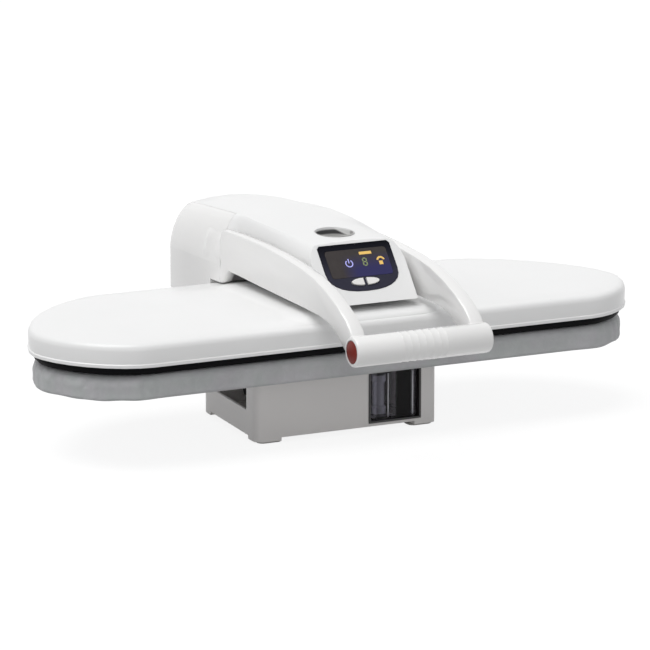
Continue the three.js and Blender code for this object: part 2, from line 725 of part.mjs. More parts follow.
function baseShell() {
  const outer = prismZ(baseOutline(0), BASE_UNDERSIDE_Z, BASE_TOP_Z);
  const inner = prismZ(baseOutline(BASE_WALL), BASE_UNDERSIDE_Z - CUT_OVERRUN, BASE_TOP_Z - BASE_WALL);
  const sideOpenings = prismX(
    roundedRectangle(
      SIDE_OPENING_FRONT_Y,
      SIDE_OPENING_REAR_Y,
      SIDE_OPENING_SILL_Z,
      SIDE_OPENING_HEAD_Z,
      SIDE_OPENING_CORNER,
    ),
    BASE_REAR_HALF_WIDTH - BASE_WALL - SEAT_GAP,
    BASE_FRONT_HALF_WIDTH + CUT_OVERRUN,
  );
  const bayOuter = block(
    TANK_LEFT_X - TANK_SIDE_PLAY - BAY_WALL,
    TANK_RIGHT_X + TANK_SIDE_PLAY + BAY_WALL,
    BASE_FRONT_Y + BASE_WALL / 2,
    TANK_REAR_Y + TANK_SIDE_PLAY + BAY_WALL,
    TANK_BOTTOM_Z - SEAT_GAP - BAY_WALL,
    TANK_TOP_Z + TANK_HEADROOM + BAY_WALL,
  );
  const bayInner = block(
    TANK_LEFT_X - TANK_SIDE_PLAY,
    TANK_RIGHT_X + TANK_SIDE_PLAY,
    BASE_FRONT_Y - CUT_OVERRUN,
    TANK_REAR_Y + TANK_SIDE_PLAY,
    TANK_BOTTOM_Z - SEAT_GAP,
    TANK_TOP_Z + TANK_HEADROOM,
  );
  const frameSeat = block(
    TANK_LEFT_X - FRAME_FACE - SEAT_GAP,
    TANK_RIGHT_X + FRAME_FACE + SEAT_GAP,
    BASE_FRONT_Y - CUT_OVERRUN,
    BASE_FRONT_Y + FRAME_DEPTH - FRAME_PROUD + SEAT_GAP,
    TANK_BOTTOM_Z - FRAME_FACE - SEAT_GAP,
    TANK_TOP_Z + FRAME_FACE + SEAT_GAP,
  );
  const socketHole = rod(
    VALVE_FLANGE_RADIUS + SEAT_GAP,
    0,
    SOCKET_LENGTH,
    'y',
    [VALVE_X, TANK_REAR_Y, VALVE_Z],
    SMALL_ROUND_SIDES_COUNT,
  );
  let shell = cut(outer, inner);
  const stubs = stubPlaces().map(([, side, y]) => {
    const leg = stubBlock(side, y, 0, FOOT_HEIGHT + SEAT_GAP, BASE_UNDERSIDE_Z + STUB_HEIGHT);
    const outline = prismZ(baseOutline(0), 0, BASE_TOP_Z);
    return leg.intersect(outline);
  });
  shell = join(shell, bayOuter, ...stubs);
  shell = cut(shell, bayInner, frameSeat, sideOpenings, sideOpenings.mirror([1, 0, 0]), socketHole);
  return shell;
}

function basePlate() {
  const inset = BASE_WALL + SEAT_GAP;
  const plate = prismZ(baseOutline(inset), BASE_UNDERSIDE_Z, BASE_UNDERSIDE_Z + BASE_PLATE_THICKNESS);
  const stubs = stubPlaces().map(([, side, y]) => (
    stubBlock(side, y, SEAT_GAP, BASE_UNDERSIDE_Z - CUT_OVERRUN, BASE_UNDERSIDE_Z + CUT_OVERRUN)
  ));
  const vents = [];
  for (let i = 0; i < VENT_COUNT; i += 1) {
    const y = PUMP_CENTRE_Y - PUMP_FOOT_WIDTH - (i + 1) * VENT_PITCH;
    const half = VENT_WIDTH / 2;
    const x = PUMP_CENTRE_X;
    const [x0, x1] = [x - VENT_LENGTH / 2, x + VENT_LENGTH / 2];
    const slot = roundedRectangle(x0, x1, y - half, y + half, half / 2, 2);
    vents.push(prismZ(slot, BASE_UNDERSIDE_Z - CUT_OVERRUN, BASE_UNDERSIDE_Z + CUT_OVERRUN));
  }
  return cut(plate, ...stubs, ...vents);
}

function foot(x, y) {
  const outline = roundedRectangle(
    x - FOOT_LENGTH / 2,
    x + FOOT_LENGTH / 2,
    y - FOOT_WIDTH / 2,
    y + FOOT_WIDTH / 2,
    FOOT_CORNER,
  );
  return prismZ(outline, 0, FOOT_HEIGHT);
}

// Water tank: open at the filler, with a filter cartridge and a valve
function tankShell() {
  const outline = roundedRectangle(TANK_LEFT_X, TANK_RIGHT_X, TANK_FRONT_Y, TANK_REAR_Y, TANK_CORNER);
  const room = roundedRectangle(
    TANK_LEFT_X + TANK_WALL,
    TANK_RIGHT_X - TANK_WALL,
    TANK_FRONT_Y + TANK_WALL,
    TANK_REAR_Y - TANK_WALL,
    TANK_CORNER - TANK_WALL,
  );
  const fillerFrontY = TANK_FRONT_Y + FILLER_SETBACK;
  const fillerRightX = TANK_RIGHT_X - FILLER_SETBACK;
  const filler = roundedRectangle(
    fillerRightX - FILLER_WIDTH,
    fillerRightX,
    fillerFrontY,
    fillerFrontY + FILLER_LENGTH,
    TANK_CORNER,
  );
  return cut(
    prismZ(outline, TANK_BOTTOM_Z, TANK_TOP_Z),
    prismZ(room, TANK_BOTTOM_Z + TANK_WALL, TANK_TOP_Z - TANK_WALL),
    prismZ(filler, TANK_TOP_Z - TANK_WALL - CUT_OVERRUN, TANK_TOP_Z + CUT_OVERRUN),
    rod(
      VALVE_RADIUS + SEAT_GAP,
      -TANK_WALL - CUT_OVERRUN,
      TANK_WALL + 2 * CUT_OVERRUN,
      'y',
      [VALVE_X, TANK_REAR_Y, VALVE_Z],
      SMALL_ROUND_SIDES_COUNT,
    ),
  );
}

function tankFilter() {
  const bottom = TANK_BOTTOM_Z + TANK_WALL + SEAT_GAP;
  const band = FILTER_HEIGHT / 6;
  const waist = FILTER_RADIUS - FILTER_WAIST;
  const profile = [
    [0, 0],
    [FILTER_RADIUS, 0],
    [FILTER_RADIUS, band],
    [waist, band + FILTER_WAIST],
    [waist, FILTER_HEIGHT - band - FILTER_WAIST],
    [FILTER_RADIUS, FILTER_HEIGHT - band],
    [FILTER_RADIUS, FILTER_HEIGHT],
    [0, FILTER_HEIGHT],
  ];
  const place = [TANK_LEFT_X + FILTER_SIDE_SETBACK, TANK_FRONT_Y + FILTER_SETBACK, bottom];
  return revolved(profile, 'z', place, SMALL_ROUND_SIDES_COUNT);
}

function tankValve() {
  const inner = TANK_WALL + VALVE_FLANGE_THICKNESS;
  const profile = [
    [0, -inner - SEAT_GAP],
    [VALVE_FLANGE_RADIUS, -inner - SEAT_GAP],
    [VALVE_FLANGE_RADIUS, -TANK_WALL - SEAT_GAP],
    [VALVE_RADIUS, -TANK_WALL - SEAT_GAP],
    [VALVE_RADIUS, VALVE_LENGTH],
    [0, VALVE_LENGTH],
  ];
  return revolved(profile, 'y', [VALVE_X, TANK_REAR_Y, VALVE_Z], SMALL_ROUND_SIDES_COUNT);
}

function tankFrame() {
  const outer = block(
    TANK_LEFT_X - FRAME_FACE,
    TANK_RIGHT_X + FRAME_FACE,
    BASE_FRONT_Y - FRAME_PROUD,
    BASE_FRONT_Y + FRAME_DEPTH - FRAME_PROUD,
    TANK_BOTTOM_Z - FRAME_FACE,
    TANK_TOP_Z + FRAME_FACE,
  );
  const mouth = block(
    TANK_LEFT_X - SEAT_GAP,
    TANK_RIGHT_X + SEAT_GAP,
    BASE_FRONT_Y - CUT_OVERRUN,
    BASE_FRONT_Y + FRAME_DEPTH + CUT_OVERRUN,
    TANK_BOTTOM_Z - SEAT_GAP,
    TANK_TOP_Z + SEAT_GAP,
  );
  return cut(outer, mouth);
}

function tankSocket() {
  const seatY = TANK_REAR_Y + TANK_SIDE_PLAY;
  const bore = VALVE_RADIUS + SEAT_GAP;
  const profile = [
    [bore, 0],
    [VALVE_FLANGE_RADIUS, 0],
    [VALVE_FLANGE_RADIUS, BAY_WALL + SEAT_GAP],
    [VALVE_FLANGE_RADIUS + SOCKET_WALL, BAY_WALL + SEAT_GAP],
    [VALVE_FLANGE_RADIUS + SOCKET_WALL, BAY_WALL + SEAT_GAP + SOCKET_WALL],
    [VALVE_FLANGE_RADIUS, BAY_WALL + SEAT_GAP + SOCKET_WALL],
    [VALVE_FLANGE_RADIUS, SOCKET_LENGTH],
    [0, SOCKET_LENGTH],
    [0, VALVE_LENGTH],
    [bore, VALVE_LENGTH],
    [bore, 0],
  ];
  return revolved(profile, 'y', [VALVE_X, seatY, VALVE_Z], SMALL_ROUND_SIDES_COUNT);
}

// Pump: coil housing on a foot, with a neck at each end
function waterPump() {
  const half = PUMP_LENGTH / 2;
  const profile = [
    [0, -half - PUMP_NECK_LENGTH],
    [PUMP_NECK_RADIUS, -half - PUMP_NECK_LENGTH],
    [PUMP_NECK_RADIUS, -half],
    [PUMP_RADIUS, -half],
    [PUMP_RADIUS, half],
    [PUMP_NECK_RADIUS, half],
    [PUMP_NECK_RADIUS, half + PUMP_NECK_LENGTH],
    [0, half + PUMP_NECK_LENGTH],
  ];
  const body = revolved(profile, 'x', [PUMP_CENTRE_X, PUMP_CENTRE_Y, PUMP_Z], SMALL_ROUND_SIDES_COUNT);
  const footBottom = PUMP_Z - PUMP_RADIUS - PUMP_LIFT;
  const standFoot = block(
    PUMP_CENTRE_X - PUMP_FOOT_LENGTH / 2,
    PUMP_CENTRE_X + PUMP_FOOT_LENGTH / 2,
    PUMP_CENTRE_Y - PUMP_FOOT_WIDTH / 2,
    PUMP_CENTRE_Y + PUMP_FOOT_WIDTH / 2,
    footBottom,
    PUMP_Z,
  );
  return join(body, standFoot);
}

// Hose from the tank socket to the pump's neck
function pumpHose() {
  const startY = TANK_REAR_Y + TANK_SIDE_PLAY + SOCKET_LENGTH + SEAT_GAP;
  const endX = PUMP_CENTRE_X + PUMP_LENGTH / 2 + PUMP_NECK_LENGTH + SEAT_GAP;
  const bend = PUMP_CENTRE_Y - startY;
  const places = [
    [VALVE_X, startY, VALVE_Z],
    [VALVE_X, startY + bend / 3, VALVE_Z],
    [
      mix(VALVE_X, endX, HOSE_TURN_SHARE),
      PUMP_CENTRE_Y - bend / 6,
      mix(VALVE_Z, PUMP_Z, HOSE_TURN_SHARE),
    ],
    [endX + bend, PUMP_CENTRE_Y, PUMP_Z],
    [endX, PUMP_CENTRE_Y, PUMP_Z],
  ];
  return tube(places, HOSE_RADIUS, HOSE_STEPS_COUNT, HOSE_SIDES_COUNT);
}

// Rear column: spine behind the base and a hollow rise for the hinge
function rearColumn() {
  const sideView = (inset) => [
    [BASE_REAR_Y + SEAT_GAP + inset, BASE_UNDERSIDE_Z + inset],
    [COLUMN_REAR_Y - inset, BASE_UNDERSIDE_Z + inset],
    [COLUMN_REAR_Y - inset, COLUMN_TOP_Z - inset],
    [COLUMN_RISE_Y + inset, COLUMN_TOP_Z - inset],
    [COLUMN_RISE_Y + inset, COLUMN_SPINE_TOP_Z + COLUMN_SLOPE_RUN],
    [COLUMN_RISE_Y + inset - COLUMN_SLOPE_RUN, COLUMN_SPINE_TOP_Z - inset],
    [BASE_REAR_Y + SEAT_GAP + inset, COLUMN_SPINE_TOP_Z - inset],
  ];
  const half = COLUMN_HALF_WIDTH;
  const plan = roundedRectangle(-half, half, BASE_REAR_Y + SEAT_GAP, COLUMN_REAR_Y, COLUMN_CORNER);
  const outer = prismX(sideView(0), -half, half).intersect(prismZ(plan, 0, BASE_TOP_Z + COLUMN_TOP_Z));
  const inner = prismX(sideView(COLUMN_WALL), -half + COLUMN_WALL, half - COLUMN_WALL);
  const stubs = columnFootPlaces().map(([, x, y]) => prismZ(
    roundedRectangle(
      x - FOOT_LENGTH / 2 - FOOT_INSET,
      x + FOOT_LENGTH / 2 + FOOT_INSET,
      y - FOOT_WIDTH / 2 - FOOT_INSET,
      y + FOOT_WIDTH / 2 + FOOT_INSET,
      FOOT_CORNER,
    ),
    FOOT_HEIGHT + SEAT_GAP,
    BASE_UNDERSIDE_Z + COLUMN_WALL / 2,
  ));
  const cheekSlot = (side) => {
    const outerX = side * (BRACKET_OUTER_HALF_WIDTH + RUNNING_GAP);
    const innerX = side * (BRACKET_OUTER_HALF_WIDTH - BRACKET_THICKNESS - RUNNING_GAP);
    return block(
      Math.min(outerX, innerX),
      Math.max(outerX, innerX),
      HINGE_Y - BRACKET_HALF_DEPTH - RUNNING_GAP,
      HINGE_Y + BRACKET_HALF_DEPTH + RUNNING_GAP,
      COLUMN_TOP_Z - COLUMN_WALL - CUT_OVERRUN,
      COLUMN_TOP_Z + CUT_OVERRUN,
    );
  };
  const glandHole = rod(
    GLAND_RADIUS - GLAND_COLLAR + RUNNING_GAP,
    half - COLUMN_WALL - CUT_OVERRUN,
    COLUMN_WALL + 2 * CUT_OVERRUN,
    'x',
    [0, GLAND_Y, GLAND_Z],
    SMALL_ROUND_SIDES_COUNT,
  );
  const springWell = block(
    -SPRING_MIDDLE_X - SPRING_LENGTH / 2 - RUNNING_GAP,
    SPRING_MIDDLE_X + SPRING_LENGTH / 2 + RUNNING_GAP,
    HINGE_Y - SPRING_RADIUS - 2 * SPRING_WIRE_RADIUS - RUNNING_GAP,
    HINGE_Y + SPRING_RADIUS + 2 * SPRING_WIRE_RADIUS + RUNNING_GAP,
    COLUMN_TOP_Z - COLUMN_WALL - CUT_OVERRUN,
    COLUMN_TOP_Z + CUT_OVERRUN,
  );
  return cut(join(outer, ...stubs), inner, cheekSlot(-1), cheekSlot(1), glandHole, springWell);
}

function mainsGland() {
  const face = COLUMN_HALF_WIDTH + SEAT_GAP;
  const neck = GLAND_RADIUS - GLAND_COLLAR;
  const profile = [
    [GLAND_BORE_RADIUS, face - COLUMN_WALL - GLAND_LIP],
    [neck, face - COLUMN_WALL - GLAND_LIP],
    [neck, face],
    [GLAND_RADIUS, face],
    [GLAND_RADIUS, face + GLAND_COLLAR],
    [neck, face + GLAND_PROUD],
    [GLAND_BORE_RADIUS, face + GLAND_PROUD],
    [GLAND_BORE_RADIUS, face - COLUMN_WALL - GLAND_LIP],
  ];
  return revolved(profile, 'x', [0, GLAND_Y, GLAND_Z], SMALL_ROUND_SIDES_COUNT);
}

// Hinge bracket: two cheeks with round heads on a cross web
function hingeBracket() {
  const cheek = (side) => {
    const outer = side * BRACKET_OUTER_HALF_WIDTH;
    const inner = side * (BRACKET_OUTER_HALF_WIDTH - BRACKET_THICKNESS);
    const [x0, x1] = [Math.min(outer, inner), Math.max(outer, inner)];
    const [frontY, rearY] = [HINGE_Y - BRACKET_HALF_DEPTH, HINGE_Y + BRACKET_HALF_DEPTH];
    const leg = block(x0, x1, frontY, rearY, BRACKET_FOOT_Z, COLUMN_TOP_Z);
    const neck = prismX([
      [HINGE_Y - BRACKET_HALF_DEPTH, COLUMN_TOP_Z],
      [HINGE_Y + BRACKET_HALF_DEPTH, COLUMN_TOP_Z],
      [HINGE_Y + BRACKET_TOP_RADIUS, HINGE_Z],
      [HINGE_Y - BRACKET_TOP_RADIUS, HINGE_Z],
    ], x0, x1);
    const head = rod(BRACKET_TOP_RADIUS, x0, x1 - x0, 'x', [0, HINGE_Y, HINGE_Z]);
    return join(leg, neck, head);
  };
  const web = block(
    -BRACKET_OUTER_HALF_WIDTH,
    BRACKET_OUTER_HALF_WIDTH,
    HINGE_Y - BRACKET_HALF_DEPTH,
    HINGE_Y + BRACKET_HALF_DEPTH,
    BRACKET_FOOT_Z,
    BRACKET_FOOT_Z + BRACKET_THICKNESS,
  );
  const bore = rod(
    SHAFT_RADIUS + SEAT_GAP,
    -BRACKET_OUTER_HALF_WIDTH - CUT_OVERRUN,
    2 * (BRACKET_OUTER_HALF_WIDTH + CUT_OVERRUN),
    'x',
    [0, HINGE_Y, HINGE_Z],
  );
  return cut(join(cheek(-1), cheek(1), web), bore);
}

function hingeShaft() {
  return rod(SHAFT_RADIUS, -SHAFT_HALF_LENGTH, 2 * SHAFT_HALF_LENGTH, 'x', [0, HINGE_Y, HINGE_Z]);
}

// Least room between the wire's own turns, from points at least half a turn apart
function leastGap(centres, wire, stepsPerTurn) {
  let least = Infinity;
  centres.forEach((centre, i) => {
    centres.slice(i + stepsPerTurn / 2).forEach((other) => {
      least = Math.min(least, centre.distanceTo(other) - 2 * wire);
    });
  });
  return least;
}

// Wire wound round an axis along X, with a straight leg at the far end
function coilSpring(radius, wire, startX, length, turns, leg, place, sides, stepsPerTurn) {
  const steps = turns * stepsPerTurn;
  const rings = [];
  const centres = [];
  const angleAt = (share) => 2 * HALF_TURN * turns * share;
  const addRing = (centre, outward, tangent) => {
    const normal = new THREE.Vector3(...outward).normalize();
    const across = new THREE.Vector3(...tangent).normalize().cross(normal);
    const points = [];
    for (let i = 0; i < sides; i += 1) {
      const angle = (2 * HALF_TURN * i) / sides;
      const offset = normal.clone().multiplyScalar(wire * Math.cos(angle));
      offset.addScaledVector(across, wire * Math.sin(angle));
      points.push(offset.add(new THREE.Vector3(...centre)).toArray());
    }
    rings.push(points);
  };
  for (let i = 0; i <= steps; i += 1) {
    const share = i / steps;
    const angle = angleAt(share);
    const centre = [startX + length * share, radius * Math.cos(angle), radius * Math.sin(angle)];
    centres.push(new THREE.Vector3(...centre));
    addRing(centre, [0, Math.cos(angle), Math.sin(angle)], [0, -Math.sin(angle), Math.cos(angle)]);
  }
  if (leg > 0) {
    addRing([startX + length, radius, leg], [0, 1, 0], [0, 0, 1]);
  }
  console.log(`least gap between turns ${leastGap(centres, wire, stepsPerTurn).toFixed(2)} mm`);
  return loft(rings).translate(place);
}

function liftSpring(side) {
  const start = side * SPRING_MIDDLE_X - SPRING_LENGTH / 2;
  return coilSpring(
    SPRING_RADIUS,
    SPRING_WIRE_RADIUS,
    start,
    SPRING_LENGTH,
    SPRING_TURNS_COUNT,
    SPRING_LEG,
    [0, HINGE_Y, HINGE_Z],
    SPRING_SIDES_COUNT,
    SPRING_STEPS_PER_TURN_COUNT,
  );
}

// Pressing board: perforated steel pan, foam pad and fitted cover
function boardPan() {
  const inset = COVER_INSET + COVER_THICKNESS + SEAT_GAP;
  const top = BOARD_UNDERSIDE_Z + PAN_THICKNESS;
  const outer = boardLoft([
    [PAN_RIM_BOTTOM_Z, inset],
    [top - PAN_THICKNESS, inset],
    [top, inset + PAN_THICKNESS],
  ]);
  const inner = boardLoft([
    [PAN_RIM_BOTTOM_Z - CUT_OVERRUN, inset + PAN_THICKNESS],
    [BOARD_UNDERSIDE_Z, inset + PAN_THICKNESS],
  ]);
  const holes = [];
  for (let i = 0; i < PAN_HOLES_PER_ROW_COUNT; i += 1) {
    const x = (i - (PAN_HOLES_PER_ROW_COUNT - 1) / 2) * PAN_HOLE_PITCH;
    for (const y of [-PAN_HOLE_ROW_Y, PAN_HOLE_ROW_Y]) {
      holes.push(rod(PAN_HOLE_RADIUS, 0, top, 'z', [x, y, PAN_RIM_HEIGHT], HOLE_SIDES_COUNT));
    }
  }
  return cut(outer, inner, ...holes);
}

function foamPad() {
  const inset = COVER_INSET + COVER_THICKNESS + SEAT_GAP;
  return boardLoft([
    [PAD_BOTTOM_Z, inset + PAN_THICKNESS],
    [PAD_BOTTOM_Z + PAN_THICKNESS, inset],
    ...roundedEdge(PAD_TOP_Z, inset, PAD_EDGE_RADIUS),
  ]);
}

// The cover is one cloth: rippled skirt, drawn-in hem and rounded top edge
function boardCover() {
  const round = PAD_EDGE_RADIUS + COVER_THICKNESS;
  const side = COVER_INSET;
  const ripple = (points, depth) => points.map(([x, y], i) => {
    const wave = Math.sin((2 * HALF_TURN * COVER_RIPPLES_COUNT * i) / points.length);
    const reach = Math.hypot(x, y);
    const out = (depth * (1 + wave)) / 2;
    return [x * (1 + out / reach), y * (1 + out / reach)];
  });
  const steps = COVER_END_STEPS_COUNT;
  const level = (z, inset, wave = 0) => atHeight(ripple(boardOutline(inset, steps), wave), z);
  const outer = loft([
    level(COVER_BOTTOM_Z, side + COVER_HEM_ROLL),
    level(COVER_BOTTOM_Z + COVER_THICKNESS, side + COVER_DRAW_IN, COVER_RIPPLE),
    level(COVER_BOTTOM_Z + PAN_RIM_HEIGHT, side - COVER_RIPPLE, COVER_RIPPLE),
    ...roundedEdge(COVER_TOP_Z, side, round).map(([z, inset]) => level(z, inset)),
  ]);
  const inset = COVER_INSET + COVER_THICKNESS;
  const inner = boardLoft([
    [COVER_BOTTOM_Z + COVER_THICKNESS, inset],
    ...roundedEdge(COVER_TOP_Z - COVER_THICKNESS, inset, PAD_EDGE_RADIUS),
  ]);
  const mouth = boardLoft([
    [COVER_BOTTOM_Z - CUT_OVERRUN, inset + COVER_HEM],
    [COVER_BOTTOM_Z + CUT_OVERRUN, inset + COVER_HEM],
  ]);
  return cut(outer, inner, mouth);
}

// Shoe: heating plate, element, steam chamber, thermostat and casing
function heatingPlate() {
  const body = boardLoft([
    ...roundedEdge(PLATE_BOTTOM_Z, PLATE_INSET, -PLATE_EDGE).map(([z, inset]) => (
      [z, 2 * PLATE_INSET - inset]
    )).reverse(),
    [PLATE_BOTTOM_Z + PLATE_THICKNESS, PLATE_INSET],
  ]);
  const pocket = boardLoft([
    [PLATE_FLOOR_Z, PLATE_INSET + PLATE_RIM],
    [PLATE_BOTTOM_Z + PLATE_THICKNESS + CUT_OVERRUN, PLATE_INSET + PLATE_RIM],
  ]);
  const holes = [];
  for (let i = 0; i < STEAM_HOLES_PER_ROW_COUNT; i += 1) {
    const x = (i - (STEAM_HOLES_PER_ROW_COUNT - 1) / 2) * STEAM_HOLE_PITCH;
    for (const y of [-STEAM_HOLE_ROW_Y, 0, STEAM_HOLE_ROW_Y]) {
      const depth = STEAM_HOLE_DEPTH + CUT_OVERRUN;
      const place = [x, y, PLATE_BOTTOM_Z];
      holes.push(rod(STEAM_HOLE_RADIUS, -CUT_OVERRUN, depth, 'z', place, HOLE_SIDES_COUNT));
    }
  }
  return cut(body, pocket, ...holes);
}

// Open loop of tube that lies on the plate, its two ends turned up
function heatingElement() {
  const z = PLATE_FLOOR_Z + SEAT_GAP + ELEMENT_RADIUS;
  const halfX = CASING_HALF_LENGTH - ELEMENT_SETBACK;
  const halfY = CASING_HALF_DEPTH - ELEMENT_SETBACK;
  const right = [
    [ELEMENT_GAP_HALF, halfY, z + ELEMENT_RISE],
    [ELEMENT_GAP_HALF * 2, halfY, z + ELEMENT_RISE / 4],
    [ELEMENT_GAP_HALF * 2 + ELEMENT_RISE * 2, halfY, z],
    [halfX * ELEMENT_STRAIGHT_SHARE, halfY, z],
    ...ELEMENT_END_SHARES.map(([back, side]) => [halfX - halfY * back, halfY * side, z]),
    [halfX * ELEMENT_STRAIGHT_SHARE, -halfY, z],
  ];
  const left = right.map(([x, y, height]) => [-x, y, height]).reverse();
  return tube([...right, ...left], ELEMENT_RADIUS, ELEMENT_STEPS_COUNT, HOLE_SIDES_COUNT);
}

function steamChamber() {
  const bottom = PLATE_FLOOR_Z + SEAT_GAP;
  const outline = roundedRectangle(
    -CHAMBER_HALF_LENGTH,
    CHAMBER_HALF_LENGTH,
    -CHAMBER_HALF_DEPTH,
    CHAMBER_HALF_DEPTH,
    CHAMBER_CORNER,
  );
  const lid = prismZ(outline, bottom, bottom + CHAMBER_HEIGHT);
  const spigot = rod(
    CHAMBER_SPIGOT_RADIUS,
    0,
    CHAMBER_HEIGHT + CHAMBER_SPIGOT_HEIGHT,
    'z',
    [CHAMBER_HALF_LENGTH / 2, 0, bottom],
    SMALL_ROUND_SIDES_COUNT,
  );
  return join(lid, spigot);
}

function thermostat() {
  const profile = [
    [0, 0],
    [THERMOSTAT_RADIUS, 0],
    [THERMOSTAT_RADIUS, THERMOSTAT_HEIGHT * THERMOSTAT_FLANGE_SHARE],
    [THERMOSTAT_RADIUS * THERMOSTAT_NECK_SHARE, THERMOSTAT_HEIGHT / 2],
    [THERMOSTAT_RADIUS * THERMOSTAT_NECK_SHARE, THERMOSTAT_HEIGHT],
    [0, THERMOSTAT_HEIGHT],
  ];
  return revolved(profile, 'z', [THERMOSTAT_X, 0, PLATE_FLOOR_Z + SEAT_GAP], SMALL_ROUND_SIDES_COUNT);
}

// Platform on the casing top, flared at its foot
function platform() {
  const rings = PLATFORM_FLARE_SHARES.map(([rise, inward]) => {
    const halfWidth = PLATFORM_HALF_WIDTH + PLATFORM_SIDE_RUN * (1 - inward);
    const frontY = PLATFORM_FRONT_Y - PLATFORM_FRONT_RUN * (1 - inward);
    const rearY = PLATFORM_REAR_Y + PLATFORM_REAR_RUN * (1 - inward);
    const corner = PLATFORM_CORNER + PLATFORM_CORNER_RUN * (1 - inward);
    const steps = PLATFORM_CORNER_STEPS_COUNT;
    const outline = roundedRectangle(-halfWidth, halfWidth, frontY, rearY, corner, steps);
    return atHeight(outline, CASING_EDGE_Z + PLATFORM_HEIGHT * rise);
  });
  return loft(rings);
}

// Seat for the shoe bracket, behind the platform's flat top
function bracketSeat() {
  const half = EAR_FOOT_HALF_WIDTH + FOOT_INSET;
  const outline = roundedRectangle(
    -half,
    half,
    PLATFORM_REAR_Y - FOOT_INSET,
    PIVOT_Y + EAR_FOOT_HALF_DEPTH,
    FOOT_CORNER,
  );
  return prismZ(outline, CASING_EDGE_Z - CASING_WALL / 2, PLATFORM_TOP_Z);
}

function shoeCasing() {
  const edge = CASING_EDGE_RADIUS;
  const proud = CASING_LIP_PROUD;
  const rings = [
    [CASING_BOTTOM_Z, 0],
    [CASING_BOTTOM_Z + CASING_LIP, 0],
    [CASING_BOTTOM_Z + CASING_LIP + proud, proud],
    ...roundedEdge(CASING_EDGE_Z, CASING_DRAFT, edge, CASING_EDGE_SHARES),
  ].map(([z, inset]) => atHeight(boardOutline(inset), z));
  const top = boardOutline(CASING_DRAFT + edge);
  CASING_CROWN_SHARES.forEach(([drawShare, riseShare]) => {
    rings.push(atHeight(drawnIn(top, drawShare), CASING_EDGE_Z + CASING_CROWN * riseShare));
  });
  const inside = CASING_LIP_PROUD + CASING_WALL;
  const hollow = boardLoft([
    [CASING_BOTTOM_Z - CUT_OVERRUN, inside],
    ...roundedEdge(CASING_CEILING_Z, inside, edge, CASING_HOLLOW_SHARES),
  ]);
  const bosses = [];
  for (const sideX of [-1, 1]) {
    for (const sideY of [-1, 1]) {
      const foot = PLATE_FLOOR_Z + SEAT_GAP;
      const place = [sideX * CASING_BOSS_X, sideY * CASING_BOSS_Y, foot];
      const height = CASING_CEILING_Z + CASING_WALL / 2 - foot;
      bosses.push(rod(CASING_BOSS_RADIUS, 0, height, 'z', place, CASING_BOSS_SIDES_COUNT));
    }
  }
  return join(cut(join(loft(rings), platform(), bracketSeat()), hollow), ...bosses);
}

function shoeBracket() {
  const bottom = PLATFORM_TOP_Z + SEAT_GAP;
  const footPlate = block(
    -EAR_FOOT_HALF_WIDTH,
    EAR_FOOT_HALF_WIDTH,
    PIVOT_Y - EAR_FOOT_HALF_DEPTH,
    PIVOT_Y + EAR_FOOT_HALF_DEPTH - EAR_THICKNESS,
    bottom,
    bottom + EAR_FOOT_THICKNESS,
  );
  const ear = (side) => {
    const outer = side * EAR_OUTER_HALF_WIDTH;
    const inner = side * (EAR_OUTER_HALF_WIDTH - EAR_THICKNESS);
    const [x0, x1] = [Math.min(outer, inner), Math.max(outer, inner)];
    const blade = prismX([
      [PIVOT_Y - EAR_FOOT_HALF_DEPTH + EAR_THICKNESS, bottom],
      [PIVOT_Y + EAR_FOOT_HALF_DEPTH - EAR_THICKNESS, bottom],
      [PIVOT_Y + EAR_RADIUS, PIVOT_Z],
      [PIVOT_Y - EAR_RADIUS, PIVOT_Z],
    ], x0, x1);
    return join(blade, rod(EAR_RADIUS, x0, x1 - x0, 'x', [0, PIVOT_Y, PIVOT_Z]));
  };
  const bore = rod(
    PIN_RADIUS + SEAT_GAP,
    -EAR_OUTER_HALF_WIDTH - CUT_OVERRUN,
    2 * (EAR_OUTER_HALF_WIDTH + CUT_OVERRUN),
    'x',
    [0, PIVOT_Y, PIVOT_Z],
  );
  return cut(join(footPlate, ear(-1), ear(1)), bore);
}

// Share of the way from the tower's width in to the console's
function narrowing(y) {
  const share = Math.min(1, Math.max(0, (SHOULDER_REAR_Y - y) / (SHOULDER_REAR_Y - TOWER_FRONT_Y)));
  return share * share * (3 - 2 * share);
}

function consoleHalfWidthAt(y) {
  const share = Math.max(0, (TOWER_FRONT_Y - y) / (TOWER_FRONT_Y - CONSOLE_FRONT_Y));
  return mix(CONSOLE_REAR_HALF_WIDTH, CONSOLE_FRONT_HALF_WIDTH, share);
}

// Height, half width and crown of the hood's top at one y
function hoodTopAt(y) {
  const share = (y - CONSOLE_FRONT_Y) / (TOWER_REAR_Y - CONSOLE_FRONT_Y);
  return {
    edgeZ: HOOD_EDGE_Z + HOOD_RISE * along(HOOD_TOP_SHARES, share),
    halfWidth: HOOD_HALF_WIDTH + HOOD_WIDENING * along(HOOD_TOP_SHARES, share, 2),
    crown: HOOD_CROWN * along(HOOD_TOP_SHARES, share, 3),
  };
}

